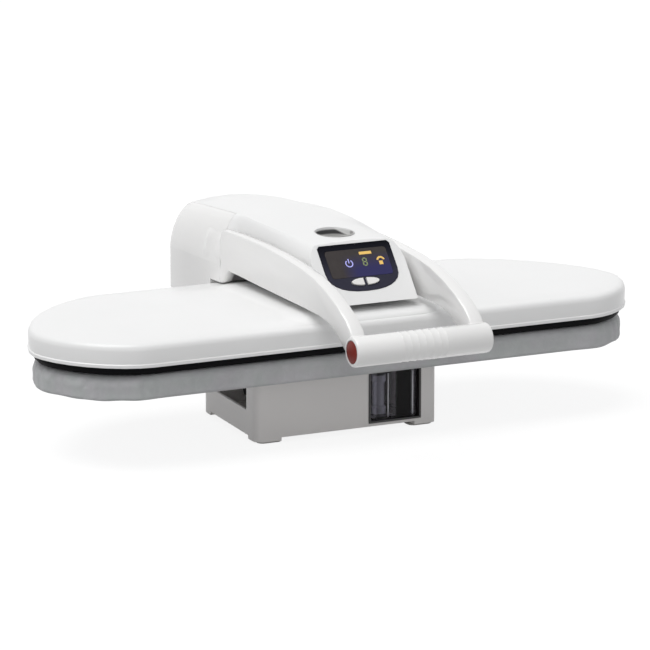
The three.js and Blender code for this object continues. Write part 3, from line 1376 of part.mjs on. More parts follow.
// Section of tower and console across X at one y, from one foot over the top
function bodySection(y, inset, grow, endInset) {
  const top = hoodTopAt(y);
  const drawn = inset + endInset;
  const halfWidth = mix(TOWER_HALF_WIDTH, consoleHalfWidthAt(y), narrowing(y)) - drawn + grow;
  const shoulderZ = mix(TOWER_SHOULDER_Z, CONSOLE_SHOULDER_Z, narrowing(y));
  const topHalf = top.halfWidth - drawn * TOP_DRAW_SHARE;
  const edgeZ = top.edgeZ - drawn;
  const fade = along(FLANK_RECESS_SHARES, (TOWER_REAR_Y - y) / (TOWER_REAR_Y - CONSOLE_FRONT_Y));
  const recess = FLANK_RECESS * fade * (1 - narrowing(y));
  const steps = inset ? SHOULDER_INNER_STEPS_COUNT : SHOULDER_STEPS_COUNT;
  const shoulder = [];
  for (let i = 0; i <= steps; i += 1) {
    const angle = (HALF_TURN / 2) * (i / steps);
    shoulder.push([
      topHalf + (halfWidth - topHalf) * Math.cos(angle) ** (2 / SHOULDER_FULLNESS_SHARE),
      shoulderZ + (edgeZ - shoulderZ) * Math.sin(angle) ** (2 / SHOULDER_FULLNESS_SHARE),
    ]);
  }
  const right = [
    [halfWidth - recess * FLANK_FOOT_SHARE, TOWER_BOTTOM_Z - (inset ? CUT_OVERRUN : 0)],
    [halfWidth - recess, FLANK_CREASE_Z - FLANK_CREASE_RUN],
    [halfWidth, FLANK_CREASE_Z + FLANK_LIP],
    ...shoulder,
    [topHalf / 2, edgeZ + top.crown * CROWN_SIDE_SHARE],
  ];
  const left = right.map(([x, z]) => [-x, z]).reverse();
  return [...right, [0, edgeZ + top.crown], ...left].map(([x, z]) => [x, y, z]);
}

// Places along Y for the sections between two limits
function sectionPlaces(from, to, coarse) {
  const reach = TOWER_REAR_Y - CONSOLE_FRONT_Y;
  const bends = HOOD_TOP_SHARES.map(([share]) => CONSOLE_FRONT_Y + reach * share);
  const span = SHOULDER_REAR_Y - TOWER_FRONT_Y;
  const steps = coarse ? 2 : NARROWING_STEPS_COUNT;
  for (let i = 0; i <= steps; i += 1) {
    bends.push(TOWER_FRONT_Y + (span * i) / steps);
  }
  bends.push(TOWER_REAR_Y - reach * FLANK_RECESS_SHARES[1][0]);
  const places = bends.sort((a, b) => a - b).filter((y, i, all) => (
    y > from + SEAT_GAP && y < to - SEAT_GAP && (i === 0 || y - all[i - 1] > SEAT_GAP)
  ));
  return [from, ...places, to];
}

// Tower and console as one body, with its tilted face cut
function bodySolid(inset, grow) {
  const round = TOWER_EDGE_ROUND;
  const rear = TOWER_REAR_Y - inset;
  const rings = sectionPlaces(CONSOLE_FRONT_Y - grow, rear - round, inset > 0).map((y) => (
    bodySection(y, inset, grow, 0)
  ));
  for (const [back, drawIn] of TOWER_END_SHARES) {
    rings.push(bodySection(rear - round * back, inset, grow, round * drawIn));
  }
  return cut(loft(rings), faceBlock(inset ? -FACE_WALL : grow), bodySteps(inset));
}

// Steps under the body, so that it clears the casing and the platform; the flanks reach further forward
function bodySteps(wall) {
  const side = TOWER_HALF_WIDTH + CUT_OVERRUN;
  const flank = TOWER_HALF_WIDTH - ARM_REAR_WIDTH + wall;
  const front = CONSOLE_FRONT_Y - 2 * CUT_OVERRUN;
  const bottom = TOWER_BOTTOM_Z - CUT_OVERRUN * 2;
  const middle = FRAME_TRAY_HALF_WIDTH + SEAT_GAP;
  const under = (x0, x1, rear, top) => block(x0, x1, front, rear + wall, bottom, top);
  const underArm = ARM_UNDERSIDE_Z + wall;
  return join(
    under(-side, side, TOWER_NOTCH_Y, TOWER_NOTCH_Z + wall),
    under(-middle, middle, TOWER_STEP_Y, ARM_UNDERSIDE_Z),
    under(-flank, -middle, TOWER_STEP_Y, underArm),
    under(middle, flank, TOWER_STEP_Y, underArm),
    under(-side, -flank, FLANK_STEP_Y, underArm),
    under(flank, side, FLANK_STEP_Y, underArm),
  );
}

// Space taken by the hood: the console and a lid between the shoulders' creases
function hoodRegion(grow) {
  const beyond = TOWER_REAR_Y + CUT_OVERRUN;
  const side = TOWER_HALF_WIDTH + CUT_OVERRUN;
  const above = HOOD_EDGE_Z * 2;
  const edge = sectionPlaces(TOWER_FRONT_Y, beyond, false).map((y) => [hoodTopAt(y).halfWidth + grow, y]);
  const lid = prismZ([...edge, ...edge.map(([x, y]) => [-x, y]).reverse()], LID_SIDE_Z - grow, above);
  return join(lid, block(-side, side, CONSOLE_FRONT_Y - side, HOOD_SEAM_Y + grow, 0, above));
}

// Local axes of the console face: X along it, Y up it and Z out of it
function onFace(solid) {
  const turn = new THREE.Matrix4().makeRotationX(THREE.MathUtils.degToRad(FACE_TILT_DEG));
  turn.setPosition(0, FACE_CENTRE_Y, FACE_CENTRE_Z);
  return solid.transform(turn.elements);
}

function faceBlock(depth) {
  const reach = TOWER_REAR_Y;
  return onFace(block(-reach, reach, -reach, reach, depth, reach));
}

// One arm of the fork, from the bar to its lap over the flank: extruded, then thinned and splayed
function forkArm(side) {
  const reach = (FLANK_STEP_Y + ARM_FLANK_LAP - BAR_Y) / ARM_TOP_SHARES[0][0];
  const rise = ARM_RIDGE_Z - BAR_Z;
  const curveThrough = (shares, steps) => {
    const curve = new THREE.SplineCurve(shares.map(([run, height]) => (
      new THREE.Vector2(BAR_Y + reach * run, BAR_Z + rise * height)
    )));
    return curve.getPoints(steps).map((point) => [point.x, point.y]);
  };
  const outline = [
    ...curveThrough(ARM_UNDERSIDE_SHARES, ARM_CURVE_STEPS_COUNT),
    ...curveThrough(ARM_TOP_SHARES, ARM_CURVE_STEPS_COUNT),
  ];
  const bevel = ARM_EDGE_RADIUS;
  const width = ARM_FRONT_WIDTH;
  const geometry = new THREE.ExtrudeGeometry(shapeOf(outline), {
    depth: width - 2 * bevel,
    bevelEnabled: true,
    bevelThickness: bevel,
    bevelSize: bevel,
    bevelOffset: -bevel,
    bevelSegments: 2,
  });
  const place = geometry.getAttribute('position');
  for (let i = 0; i < place.count; i += 1) {
    const [y, z, depth] = [place.getX(i), place.getY(i), place.getZ(i) + bevel];
    const run = Math.min(1, Math.max(0, (y - BAR_Y) / reach / ARM_PARALLEL_SHARE));
    const outerX = mix(ARM_FRONT_OUTER_X, ARM_REAR_OUTER_X, run);
    const thickness = mix(ARM_FRONT_WIDTH, ARM_REAR_WIDTH, run);
    place.setXYZ(i, outerX - thickness * (1 - depth / width), y, z);
  }
  const arm = solidFrom(geometry);
  return side > 0 ? arm : arm.mirror([1, 0, 0]);
}

// Grip bar with raised ribs round its middle
function gripBar() {
  const half = BAR_HALF_LENGTH;
  const ribs = [];
  for (let i = 0; i < BAR_RIBS_COUNT; i += 1) {
    const middle = (i - (BAR_RIBS_COUNT - 1) / 2) * BAR_RIB_PITCH;
    const width = BAR_RIB_WIDTH / 2;
    ribs.push([BAR_RADIUS, middle - width]);
    ribs.push([BAR_RADIUS + BAR_RIB_PROUD, middle]);
    ribs.push([BAR_RADIUS, middle + width]);
  }
  const rim = (side) => [
    [BAR_RADIUS - BAR_RIM, side * half],
    [BAR_RADIUS - BAR_RIM * BAR_RIM_SHARE, side * (half - BAR_RIM * BAR_RIM_SHARE)],
    [BAR_RADIUS, side * (half - BAR_RIM)],
  ];
  const profile = [[0, -half], ...rim(-1), ...ribs, ...rim(1).reverse(), [0, half]];
  return revolved(profile, 'x', [0, BAR_Y, BAR_Z]);
}

// Rib across the space between an outer wall and the steel frame
function frameRib(side, y, outerX) {
  const inner = side * (FRAME_PLATE_OUTER_HALF_WIDTH + SEAT_GAP);
  const outer = side * outerX;
  const bottom = ARM_UNDERSIDE_Z + FRAME_TRAY_THICKNESS + 2 * SEAT_GAP;
  return block(
    Math.min(inner, outer),
    Math.max(inner, outer),
    y - RIB_THICKNESS / 2,
    y + RIB_THICKNESS / 2,
    bottom,
    bottom + RIB_HEIGHT,
  );
}

function buttonBore(side) {
  const start = side > 0 ? BAR_INNER_X : -BAR_HALF_LENGTH - CUT_OVERRUN;
  return rod(
    BUTTON_RADIUS + BUTTON_PLAY,
    start,
    BUTTON_BORE_DEPTH + CUT_OVERRUN,
    'x',
    [0, BAR_Y, BAR_Z],
  );
}

// Tower walls, fork arms and bar are one moulding
function armHousing() {
  const room = bodySolid(HOUSING_WALL, 0);
  const grooved = bodySolid(0, GROOVE).intersect(hoodRegion(SEAT_GAP));
  const forks = cut(join(forkArm(-1), forkArm(1)), grooved, room);
  const tower = cut(bodySolid(0, 0), room, hoodRegion(SEAT_GAP));
  const ribs = HOUSING_RIB_PLACES_Y.flatMap((y) => (
    [-1, 1].map((side) => frameRib(side, y, TOWER_HALF_WIDTH - FLANK_RECESS))
  ));
  return cut(join(tower, forks, gripBar(), ...ribs), buttonBore(-1), buttonBore(1));
}

function hoodCover() {
  const shell = cut(bodySolid(0, 0).intersect(hoodRegion(0)), bodySolid(HOUSING_WALL, 0));
  const bezelSeat = onFace(prismZ(
    bezelOutline(SEAT_GAP),
    -BEZEL_THICKNESS + BEZEL_PROUD - SEAT_GAP,
    CUT_OVERRUN,
  ));
  const moduleHole = onFace(block(
    -MODULE_HALF_WIDTH - SEAT_GAP,
    MODULE_HALF_WIDTH + SEAT_GAP,
    WINDOW_BOTTOM + WINDOW_LEDGE,
    WINDOW_TOP - WINDOW_LEDGE,
    -FACE_PASSAGE,
    CUT_OVERRUN,
  ));
  const stemHoles = [-1, 1].map((side) => onFace(rod(
    KEY_STEM_RADIUS + KEY_PLAY,
    -FACE_PASSAGE,
    FACE_PASSAGE,
    'z',
    [side * keyMiddle(), -KEY_DOWN, 0],
    SMALL_ROUND_SIDES_COUNT,
  )));
  const cupHole = rod(
    RECESS_CUP_RADIUS + SEAT_GAP,
    0,
    HOOD_EDGE_Z,
    'z',
    [0, RECESS_CUP_Y, hoodTopAt(RECESS_CUP_Y).edgeZ - RECESS_CUP_DEPTH - 2 * RECESS_CUP_WALL],
  );
  const ribs = HOOD_RIB_PLACES_Y.flatMap((y) => (
    [-1, 1].map((side) => frameRib(side, y, consoleHalfWidthAt(y) - HOUSING_WALL / 2))
  ));
  return cut(join(shell, ...ribs), bezelSeat, moduleHole, ...stemHoles, cupHole);
}

// Round scoop let into the hood's top, deepest at the rear, its floor rising to the front
function recessCup() {
  const top = hoodTopAt(RECESS_CUP_Y);
  const topZ = top.edgeZ + top.crown * CROWN_SIDE_SHARE;
  const outer = RECESS_CUP_RADIUS;
  const inner = outer - RECESS_CUP_WALL;
  const bottom = topZ - RECESS_CUP_DEPTH - 2 * RECESS_CUP_WALL;
  const place = [0, RECESS_CUP_Y, 0];
  const slope = Math.atan2(RECESS_CUP_DEPTH, 2 * inner);
  const overFloor = (drop) => {
    const turn = new THREE.Matrix4().makeRotationX(-slope);
    turn.setPosition(0, RECESS_CUP_Y - inner, topZ - drop);
    return block(-outer, outer, -outer, 2 * outer, 0, 2 * outer).transform(turn.elements);
  };
  const body = rod(outer, bottom, topZ - bottom, 'z', place).intersect(overFloor(RECESS_CUP_WALL));
  const room = rod(inner, bottom, topZ - bottom + CUT_OVERRUN, 'z', place).intersect(overFloor(0));
  return cut(body, room);
}

// Bezel outline on the face: square shoulders and one wide round chin
function bezelOutline(grow) {
  const half = BEZEL_HALF_WIDTH + grow;
  const drop = BEZEL_SHOULDER - BEZEL_BOTTOM + grow;
  const corner = BEZEL_TOP_CORNER;
  const chin = [];
  const steps = CHIN_STEPS_COUNT;
  for (let i = 0; i <= steps; i += 1) {
    const angle = HALF_TURN * (1 - i / steps);
    const across = Math.cos(angle);
    const down = Math.sin(angle);
    chin.push([
      Math.sign(across) * half * Math.abs(across) ** (2 / BEZEL_FULLNESS_SHARE),
      BEZEL_SHOULDER - drop * down ** (2 / BEZEL_FULLNESS_SHARE),
    ]);
  }
  const top = BEZEL_TOP + grow;
  const right = [[half, top - corner], [half - corner, top]];
  return [...chin, ...right, [-half + corner, top], [-half, top - corner]];
}

function windowOutline(grow) {
  return roundedRectangle(
    -WINDOW_HALF_WIDTH - grow,
    WINDOW_HALF_WIDTH + grow,
    WINDOW_BOTTOM - grow,
    WINDOW_TOP + grow,
    BEZEL_TOP_CORNER,
    2,
  );
}

function keyMiddle() {
  return (KEY_MIDDLE_GAP + KEY_LENGTH) / 2;
}

// Half oval, flat towards the middle of the face
function keyOutline(side, grow) {
  const steps = KEY_STEPS_COUNT;
  const points = [];
  for (let i = 0; i <= steps; i += 1) {
    const angle = HALF_TURN * (i / steps - 1 / 2);
    const across = KEY_MIDDLE_GAP / 2 - grow + (KEY_LENGTH + 2 * grow) * Math.cos(angle);
    points.push([side * across, -KEY_DOWN + (KEY_HALF_HEIGHT + grow) * Math.sin(angle)]);
  }
  return side > 0 ? points : points.reverse();
}

function consoleBezel() {
  const back = -BEZEL_THICKNESS + BEZEL_PROUD;
  const plate = prismZ(bezelOutline(0), back, BEZEL_PROUD);
  const seat = prismZ(windowOutline(SEAT_GAP), BEZEL_PROUD - WINDOW_THICKNESS - SEAT_GAP, CUT_OVERRUN);
  const opening = prismZ(windowOutline(-WINDOW_LEDGE), -CUT_OVERRUN, CUT_OVERRUN);
  const keyHoles = [-1, 1].map((side) => prismZ(keyOutline(side, KEY_PLAY), -CUT_OVERRUN, CUT_OVERRUN));
  return onFace(cut(plate, seat, opening, ...keyHoles));
}

function displayWindow() {
  return onFace(prismZ(windowOutline(0), BEZEL_PROUD - WINDOW_THICKNESS, BEZEL_PROUD));
}

function keyCap(side) {
  const seat = -BEZEL_THICKNESS + BEZEL_PROUD + KEY_TRAVEL + SEAT_GAP;
  const cap = prismZ(keyOutline(side, 0), seat, BEZEL_PROUD + KEY_PROUD);
  const stemEnd = -BOARD_SETBACK + BOARD_THICKNESS + SWITCH_HEIGHT + KEY_TRAVEL + SEAT_GAP;
  const stem = rod(
    KEY_STEM_RADIUS,
    stemEnd,
    seat - stemEnd + KEY_DEPTH / 4,
    'z',
    [side * keyMiddle(), -KEY_DOWN, 0],
    SMALL_ROUND_SIDES_COUNT,
  );
  return onFace(join(cap, stem));
}

function controlBoard() {
  const back = -BOARD_SETBACK;
  const board = block(
    -BOARD_HALF_WIDTH,
    BOARD_HALF_WIDTH,
    -BOARD_HALF_HEIGHT,
    BOARD_HALF_HEIGHT,
    back,
    back + BOARD_THICKNESS,
  );
  const half = SWITCH_SIZE / 2;
  const switches = [-1, 1].map((side) => {
    const x = side * keyMiddle();
    const overlap = BOARD_THICKNESS / 2;
    return block(
      x - half,
      x + half,
      -KEY_DOWN - half,
      -KEY_DOWN + half,
      back + overlap,
      back + BOARD_THICKNESS + SWITCH_HEIGHT,
    );
  });
  return onFace(join(board, ...switches));
}

function displayModule() {
  return onFace(block(
    -MODULE_HALF_WIDTH,
    MODULE_HALF_WIDTH,
    WINDOW_BOTTOM + WINDOW_LEDGE + SEAT_GAP,
    WINDOW_TOP - WINDOW_LEDGE - SEAT_GAP,
    -BOARD_SETBACK + BOARD_THICKNESS + SEAT_GAP,
    BEZEL_PROUD - WINDOW_THICKNESS - SEAT_GAP,
  ));
}

// Round button with a stem, pressed into the end of the bar
function steamButton(side) {
  const face = BAR_HALF_LENGTH + BUTTON_PROUD;
  const back = face - BUTTON_LENGTH;
  const profile = [
    [0, back - BUTTON_STEM_LENGTH],
    [BUTTON_STEM_RADIUS, back - BUTTON_STEM_LENGTH],
    [BUTTON_STEM_RADIUS, back],
    [BUTTON_RADIUS, back],
    [BUTTON_RADIUS, face - BUTTON_CROWN],
    [BUTTON_RADIUS * BUTTON_FACE_SHARE, face - BUTTON_CROWN * BUTTON_CROWN_SHARE],
    [0, face],
  ];
  const button = revolved(profile, 'x', [0, 0, 0]);
  const faced = side > 0 ? button : button.mirror([1, 0, 0]);
  return faced.translate([0, BAR_Y, BAR_Z]);
}

function steamSwitch(side) {
  const buttonBack = BAR_HALF_LENGTH + BUTTON_PROUD - BUTTON_LENGTH - BUTTON_STEM_LENGTH;
  const outer = buttonBack - BUTTON_TRAVEL - SEAT_GAP;
  const inner = outer - STEAM_SWITCH_LENGTH;
  const half = STEAM_SWITCH_WIDTH / 2;
  const body = block(inner, outer, -half, half, -STEAM_SWITCH_HEIGHT / 2, STEAM_SWITCH_HEIGHT / 2);
  const carrier = rod(
    BUTTON_RADIUS + BUTTON_PLAY - SEAT_GAP,
    BAR_INNER_X + SEAT_GAP,
    inner - BAR_INNER_X - SEAT_GAP + BUTTON_TRAVEL,
    'x',
    [0, 0, 0],
    SMALL_ROUND_SIDES_COUNT,
  );
  const whole = join(body, carrier);
  const faced = side > 0 ? whole : whole.mirror([1, 0, 0]);
  return faced.translate([0, BAR_Y, BAR_Z]);
}

function buttonSpring(side) {
  const end = BAR_HALF_LENGTH + BUTTON_PROUD - BUTTON_LENGTH - BUTTON_SPRING_WIRE_RADIUS - SEAT_GAP;
  const carrierFace = BAR_HALF_LENGTH + BUTTON_PROUD - BUTTON_LENGTH - BUTTON_STEM_LENGTH
    - STEAM_SWITCH_LENGTH - SEAT_GAP;
  const start = carrierFace + BUTTON_SPRING_WIRE_RADIUS + SEAT_GAP;
  const spring = coilSpring(
    BUTTON_SPRING_RADIUS + STEAM_SWITCH_WIDTH / 4,
    BUTTON_SPRING_WIRE_RADIUS,
    start,
    end - start,
    BUTTON_SPRING_TURNS_COUNT,
    0,
    [0, 0, 0],
    SPRING_SIDES_COUNT,
    SPRING_STEPS_PER_TURN_COUNT,
  );
  const faced = side > 0 ? spring : spring.mirror([1, 0, 0]);
  return faced.translate([0, BAR_Y, BAR_Z]);
}

// Steel frame: two rails that run from the hinge to the console, on a tray
function armFrame() {
  const rail = (side) => {
    const outer = side * FRAME_PLATE_OUTER_HALF_WIDTH;
    const inner = side * (FRAME_PLATE_OUTER_HALF_WIDTH - FRAME_PLATE_THICKNESS);
    const [x0, x1] = [Math.min(outer, inner), Math.max(outer, inner)];
    const bottom = ARM_UNDERSIDE_Z + SEAT_GAP;
    const top = bottom + FRAME_RAIL_HEIGHT;
    const plate = prismX([
      [FRAME_RAIL_FRONT_Y, bottom],
      [FRAME_TRAY_REAR_Y, bottom],
      [FRAME_TRAY_REAR_Y + FRAME_NECK / 2, bottom],
      [HINGE_Y - FRAME_BOSS_RADIUS, HINGE_Z],
      [HINGE_Y + FRAME_BOSS_RADIUS, HINGE_Z],
      [HINGE_Y + FRAME_BOSS_RADIUS, HINGE_Z + FRAME_NECK],
      [FRAME_TRAY_REAR_Y + 2 * FRAME_NECK, top],
      [FRAME_RAIL_FRONT_Y + FRAME_NECK / 2, top],
    ], x0, x1);
    return join(plate, rod(FRAME_BOSS_RADIUS, x0, x1 - x0, 'x', [0, HINGE_Y, HINGE_Z]));
  };
  const bottom = ARM_UNDERSIDE_Z + SEAT_GAP;
  const tray = block(
    -FRAME_TRAY_HALF_WIDTH,
    FRAME_TRAY_HALF_WIDTH,
    FRAME_TRAY_FRONT_Y,
    FRAME_TRAY_REAR_Y,
    bottom,
    bottom + FRAME_TRAY_THICKNESS,
  );
  const earOpening = block(
    -EAR_OUTER_HALF_WIDTH - 2 * PRESS_GAP,
    EAR_OUTER_HALF_WIDTH + 2 * PRESS_GAP,
    PIVOT_Y - EAR_FOOT_HALF_DEPTH,
    PIVOT_Y + EAR_FOOT_HALF_DEPTH,
    bottom - CUT_OVERRUN,
    bottom + FRAME_TRAY_THICKNESS + CUT_OVERRUN,
  );
  const across = FRAME_PLATE_OUTER_HALF_WIDTH + CUT_OVERRUN;
  const bushHole = rod(BUSH_RADIUS + SEAT_GAP, -across, 2 * across, 'x', [0, HINGE_Y, HINGE_Z]);
  const pinHole = rod(PIN_RADIUS + SEAT_GAP, -across, 2 * across, 'x', [0, PIVOT_Y, PIVOT_Z]);
  return cut(join(rail(-1), rail(1), tray), earOpening, bushHole, pinHole);
}

function hingeBush(side) {
  const inner = FRAME_PLATE_OUTER_HALF_WIDTH - FRAME_PLATE_THICKNESS;
  const outer = FRAME_PLATE_OUTER_HALF_WIDTH + SEAT_GAP;
  const bore = SHAFT_RADIUS + SEAT_GAP;
  const profile = [
    [bore, inner],
    [BUSH_RADIUS, inner],
    [BUSH_RADIUS, outer],
    [BUSH_FLANGE_RADIUS, outer],
    [BUSH_FLANGE_RADIUS, outer + BUSH_FLANGE_THICKNESS],
    [bore, outer + BUSH_FLANGE_THICKNESS],
    [bore, inner],
  ];
  const bush = revolved(profile, 'x', [0, 0, 0]);
  const faced = side > 0 ? bush : bush.mirror([1, 0, 0]);
  return faced.translate([0, HINGE_Y, HINGE_Z]);
}

function pivotPin() {
  return rod(PIN_RADIUS, -PIN_HALF_LENGTH, 2 * PIN_HALF_LENGTH, 'x', [0, PIVOT_Y, PIVOT_Z]);
}

function stopPad(side) {
  const bottom = PLATFORM_TOP_Z + SEAT_GAP;
  const height = ARM_UNDERSIDE_Z + SEAT_GAP - SEAT_GAP - bottom;
  const place = [side * STOP_PAD_X, STOP_PAD_Y, bottom];
  return rod(STOP_PAD_RADIUS, 0, height, 'z', place, SMALL_ROUND_SIDES_COUNT);
}

function footPlaces() {
  const inset = FOOT_INSET;
  const frontY = BASE_FRONT_Y + inset + FOOT_WIDTH / 2;
  const rearY = BASE_REAR_Y - inset - FOOT_WIDTH / 2;
  const frontX = BASE_FRONT_HALF_WIDTH - 2 * inset - FOOT_LENGTH / 2;
  const rearX = BASE_REAR_HALF_WIDTH - 2 * inset - FOOT_LENGTH / 2;
  return [
    ['foot_front_left', -frontX, frontY],
    ['foot_front_right', frontX, frontY],
    ['foot_rear_left', -rearX, rearY],
    ['foot_rear_right', rearX, rearY],
  ];
}

function columnFootPlaces() {
  const x = COLUMN_HALF_WIDTH - FOOT_INSET - FOOT_LENGTH / 2;
  const y = COLUMN_REAR_Y - 2 * FOOT_INSET - FOOT_WIDTH / 2;
  return [
    ['foot_column_left', -x, y],
    ['foot_column_right', x, y],
  ];
}

addPart('base_shell', baseShell(), ...WARM_GREY_PLASTIC);
addPart('base_plate', basePlate(), ...WARM_GREY_PLASTIC);
for (const [name, x, y] of [...footPlaces(), ...columnFootPlaces()]) {
  addPart(name, foot(x, y), ...PALE_RUBBER);
}
addPart('tank_frame', tankFrame(), ...DARK_PLASTIC);
addPart('tank_shell', tankShell(), 0x4a4a52, 0.15);
addPart('tank_filter', tankFilter(), 0x8d939c, 0.3);
addPart('tank_valve', tankValve(), 0xe6e6e6, 0.4);
addPart('tank_socket', tankSocket(), ...DARK_PLASTIC);
addPart('water_pump', waterPump(), 0x3a3d42, 0.5);
addPart('pump_hose', pumpHose(), 0xd9dcdc, 0.5);
addPart('rear_column', rearColumn(), ...WARM_GREY_PLASTIC);
addPart('mains_gland', mainsGland(), ...DARK_PLASTIC);
addPart('hinge_bracket', hingeBracket(), ...STEEL);
addPart('hinge_shaft', hingeShaft(), ...STEEL);
addPart('lift_spring_left', liftSpring(-1), ...STEEL);
addPart('lift_spring_right', liftSpring(1), ...STEEL);
addPart('board_pan', boardPan(), ...STEEL);
addPart('foam_pad', foamPad(), 0xc9c4b4, 0.95);
addPart('board_cover', boardCover(), 0x8d9296, 0.9);
addPart('heating_plate', heatingPlate(), 0x1c1c1e, 0.5, 0.4);
addPart('heating_element', heatingElement(), ...STEEL);
addPart('steam_chamber_lid', steamChamber(), ...STEEL);
addPart('thermostat', thermostat(), 0xe8e2d4, 0.5);
addPart('shoe_casing', shoeCasing(), ...WHITE_PLASTIC);
addPart('shoe_bracket', shoeBracket(), ...STEEL);
addPart('arm_housing', armHousing(), ...WHITE_PLASTIC);
addPart('hood_cover', hoodCover(), ...WHITE_PLASTIC);
addPart('arm_frame', armFrame(), ...STEEL);
addPart('hinge_bush_left', hingeBush(-1), ...BRONZE);
addPart('hinge_bush_right', hingeBush(1), ...BRONZE);
addPart('pivot_pin', pivotPin(), ...STEEL);
addPart('stop_pad_left', stopPad(-1), ...DARK_PLASTIC);
addPart('stop_pad_right', stopPad(1), ...DARK_PLASTIC);
addPart('recess_cup', recessCup(), 0xb4b5b3, 0.45);
addPart('console_bezel', consoleBezel(), 0x2b2c3b, 0.35);
addPart('display_window', displayWindow(), 0x33343c, 0.12);
addPart('display_module', displayModule(), 0x15161a, 0.5);
addPart('control_board', controlBoard(), 0x2d6a3c, 0.6);
addPart('key_left', keyCap(-1), ...WHITE_PLASTIC);
addPart('key_right', keyCap(1), ...WHITE_PLASTIC);
addPart('steam_button_left', steamButton(-1), 0x9c3028, 0.4);
addPart('steam_button_right', steamButton(1), 0x9c3028, 0.4);
addPart('steam_switch_left', steamSwitch(-1), ...DARK_PLASTIC);
addPart('steam_switch_right', steamSwitch(1), ...DARK_PLASTIC);
addPart('button_spring_left', buttonSpring(-1), ...STEEL);
addPart('button_spring_right', buttonSpring(1), ...STEEL);

export default press;
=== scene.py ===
import json
import math

import bpy
import numpy as np
from mathutils import Matrix, Vector
from mathutils.bvhtree import BVHTree


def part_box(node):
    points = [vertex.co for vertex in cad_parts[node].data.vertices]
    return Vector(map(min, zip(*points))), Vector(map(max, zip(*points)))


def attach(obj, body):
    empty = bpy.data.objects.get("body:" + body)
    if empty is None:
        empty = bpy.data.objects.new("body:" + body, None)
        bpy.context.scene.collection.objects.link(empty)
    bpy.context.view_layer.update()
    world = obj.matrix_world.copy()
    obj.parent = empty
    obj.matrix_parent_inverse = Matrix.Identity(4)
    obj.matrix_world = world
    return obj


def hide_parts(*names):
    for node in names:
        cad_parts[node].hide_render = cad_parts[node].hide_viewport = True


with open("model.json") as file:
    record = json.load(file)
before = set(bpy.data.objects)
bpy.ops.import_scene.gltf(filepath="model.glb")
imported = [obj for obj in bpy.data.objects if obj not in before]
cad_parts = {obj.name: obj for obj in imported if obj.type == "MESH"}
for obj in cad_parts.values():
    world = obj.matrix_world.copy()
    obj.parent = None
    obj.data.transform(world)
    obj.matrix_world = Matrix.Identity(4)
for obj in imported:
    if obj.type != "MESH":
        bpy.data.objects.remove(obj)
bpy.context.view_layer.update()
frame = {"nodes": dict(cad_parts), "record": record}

MM = 0.001
NODES = frame["nodes"]
SCENE = bpy.context.scene

# Camera at the photo's angle, placed in millimetres in the press's own frame
EYE = (-2166.115, -4160.381, 1122.901)
LOOK = (0.45188856, 0.86664264, -0.21148822)
RIGHT = (0.886776299, -0.462198225, 0.000772477)
UP = (0.09708002, 0.18789181, 0.97738024)
FOCAL_PIXELS = 4449.888
PICTURE_PIXELS = 650
SENSOR = 36.0

# Nearest and furthest distance at which the camera sees anything, in metres
CLIP_START = 0.1
CLIP_END = 50

# Surroundings: the white that shows, and the fill that comes from all round
WHITE = (1, 1, 1, 1)
WORLD_TINT = (0.98, 0.985, 1, 1)
WORLD_FILL = 0.45

# Floor: half its width in metres, the light that it throws back, and how it shows in the picture
FLOOR_HALF = 9
FLOOR_ROUGH = 0.9
FLOOR_BOUNCE = 0.45
FLOOR_SHADOW = 0.2
FLOOR_GLOW = 0.86
SHOWING_RAYS = ("Is Transmission Ray", "Is Glossy Ray")

# Suns: the side each shines from, its spread in degrees and its strength
KEY_SUN = ((-0.32, -0.05, 0.94), 45, 1.75)
FRONT_SUN = ((-0.25, -0.93, 0.25), 30, 0.24)

# Moulded plastic: its patches, its uneven gloss, its grain and its rounded edges
PATCH_SCALE = 14
PATCH_DEPTH = 0.03
GLOSS_SCALE = 55
GLOSS_SWING = 0.05
GRAIN_SCALE = 2600
GRAIN_DEPTH = 0.05 * MM
ROUNDING = 0.7 * MM
BEVEL_SAMPLES = 6

# Clear plastic: its haze, its slight waviness, its rounded edges and its reflection
HAZE_SCALE = 180
RIPPLE_SCALE = 260
CLEAR_ROUNDING = 0.5 * MM
CLEAR_SPECULAR = 0.15

# Metal: its fine lines, how dark they get, how they change its gloss and how deep they are
LINE_SCALE = 900
LINE_SHADE = 0.86
LINE_GLOSS = (-0.08, 0.1)
LINE_RELIEF = 0.2
LINE_DEPTH = 0.04 * MM
METAL_ROUNDING = 0.4 * MM

# Heating plate's coating: pale specks where the noise, stretched to this range, is above 0
SPECK_SCALE = 2200
SPECK_RANGE = (-1.6, 1.9)
COATING_ROUNDING = 0.5 * MM

# Circuit board's tracks and the foam's pores
TRACK_SCALE = 180
PORE_SCALE = 700
PORE_DEPTH = 0.4 * MM

# Cloth's weave: how fine it is, how much it wavers, and its share in the tone and in the relief
THREAD_SCALE = 1300
THREAD_WAVER = 0.6
THREAD_TONE = 0.1
THREAD_RELIEF = 0.3
THREAD_DEPTH = 0.25 * MM

# Cloth's mottle, broad and small, each by its scale and its share, and where its tinge changes
BROAD_MOTTLE = (28, 0.6)
SMALL_MOTTLE = (160, 0.3)
TINGE_SCALE = 45
TINGE_RANGE = (0.35, 0.65)

# Shading of the solids: edges sharper than this many degrees stay sharp, and split corners join
SHARP_ANGLE = 32
WELD_DISTANCE = 0.002 * MM

# Thumb recess: share of its radius, behind the middle, over which the painted shade and painted light
# on its walls set in
CUP_SHADE_SHARE = 0.15

# Thumb recess: heights and places across it between which its painted shade and painted light change,
# and their slant
CUP_FLOOR = (-5.9 * MM, -4.7 * MM)
CUP_RIM = (-1.5 * MM, -0.1 * MM)
CUP_SLANT = 1.6
CUP_LIGHT_ACROSS = (8.0 * MM, 11.0 * MM)
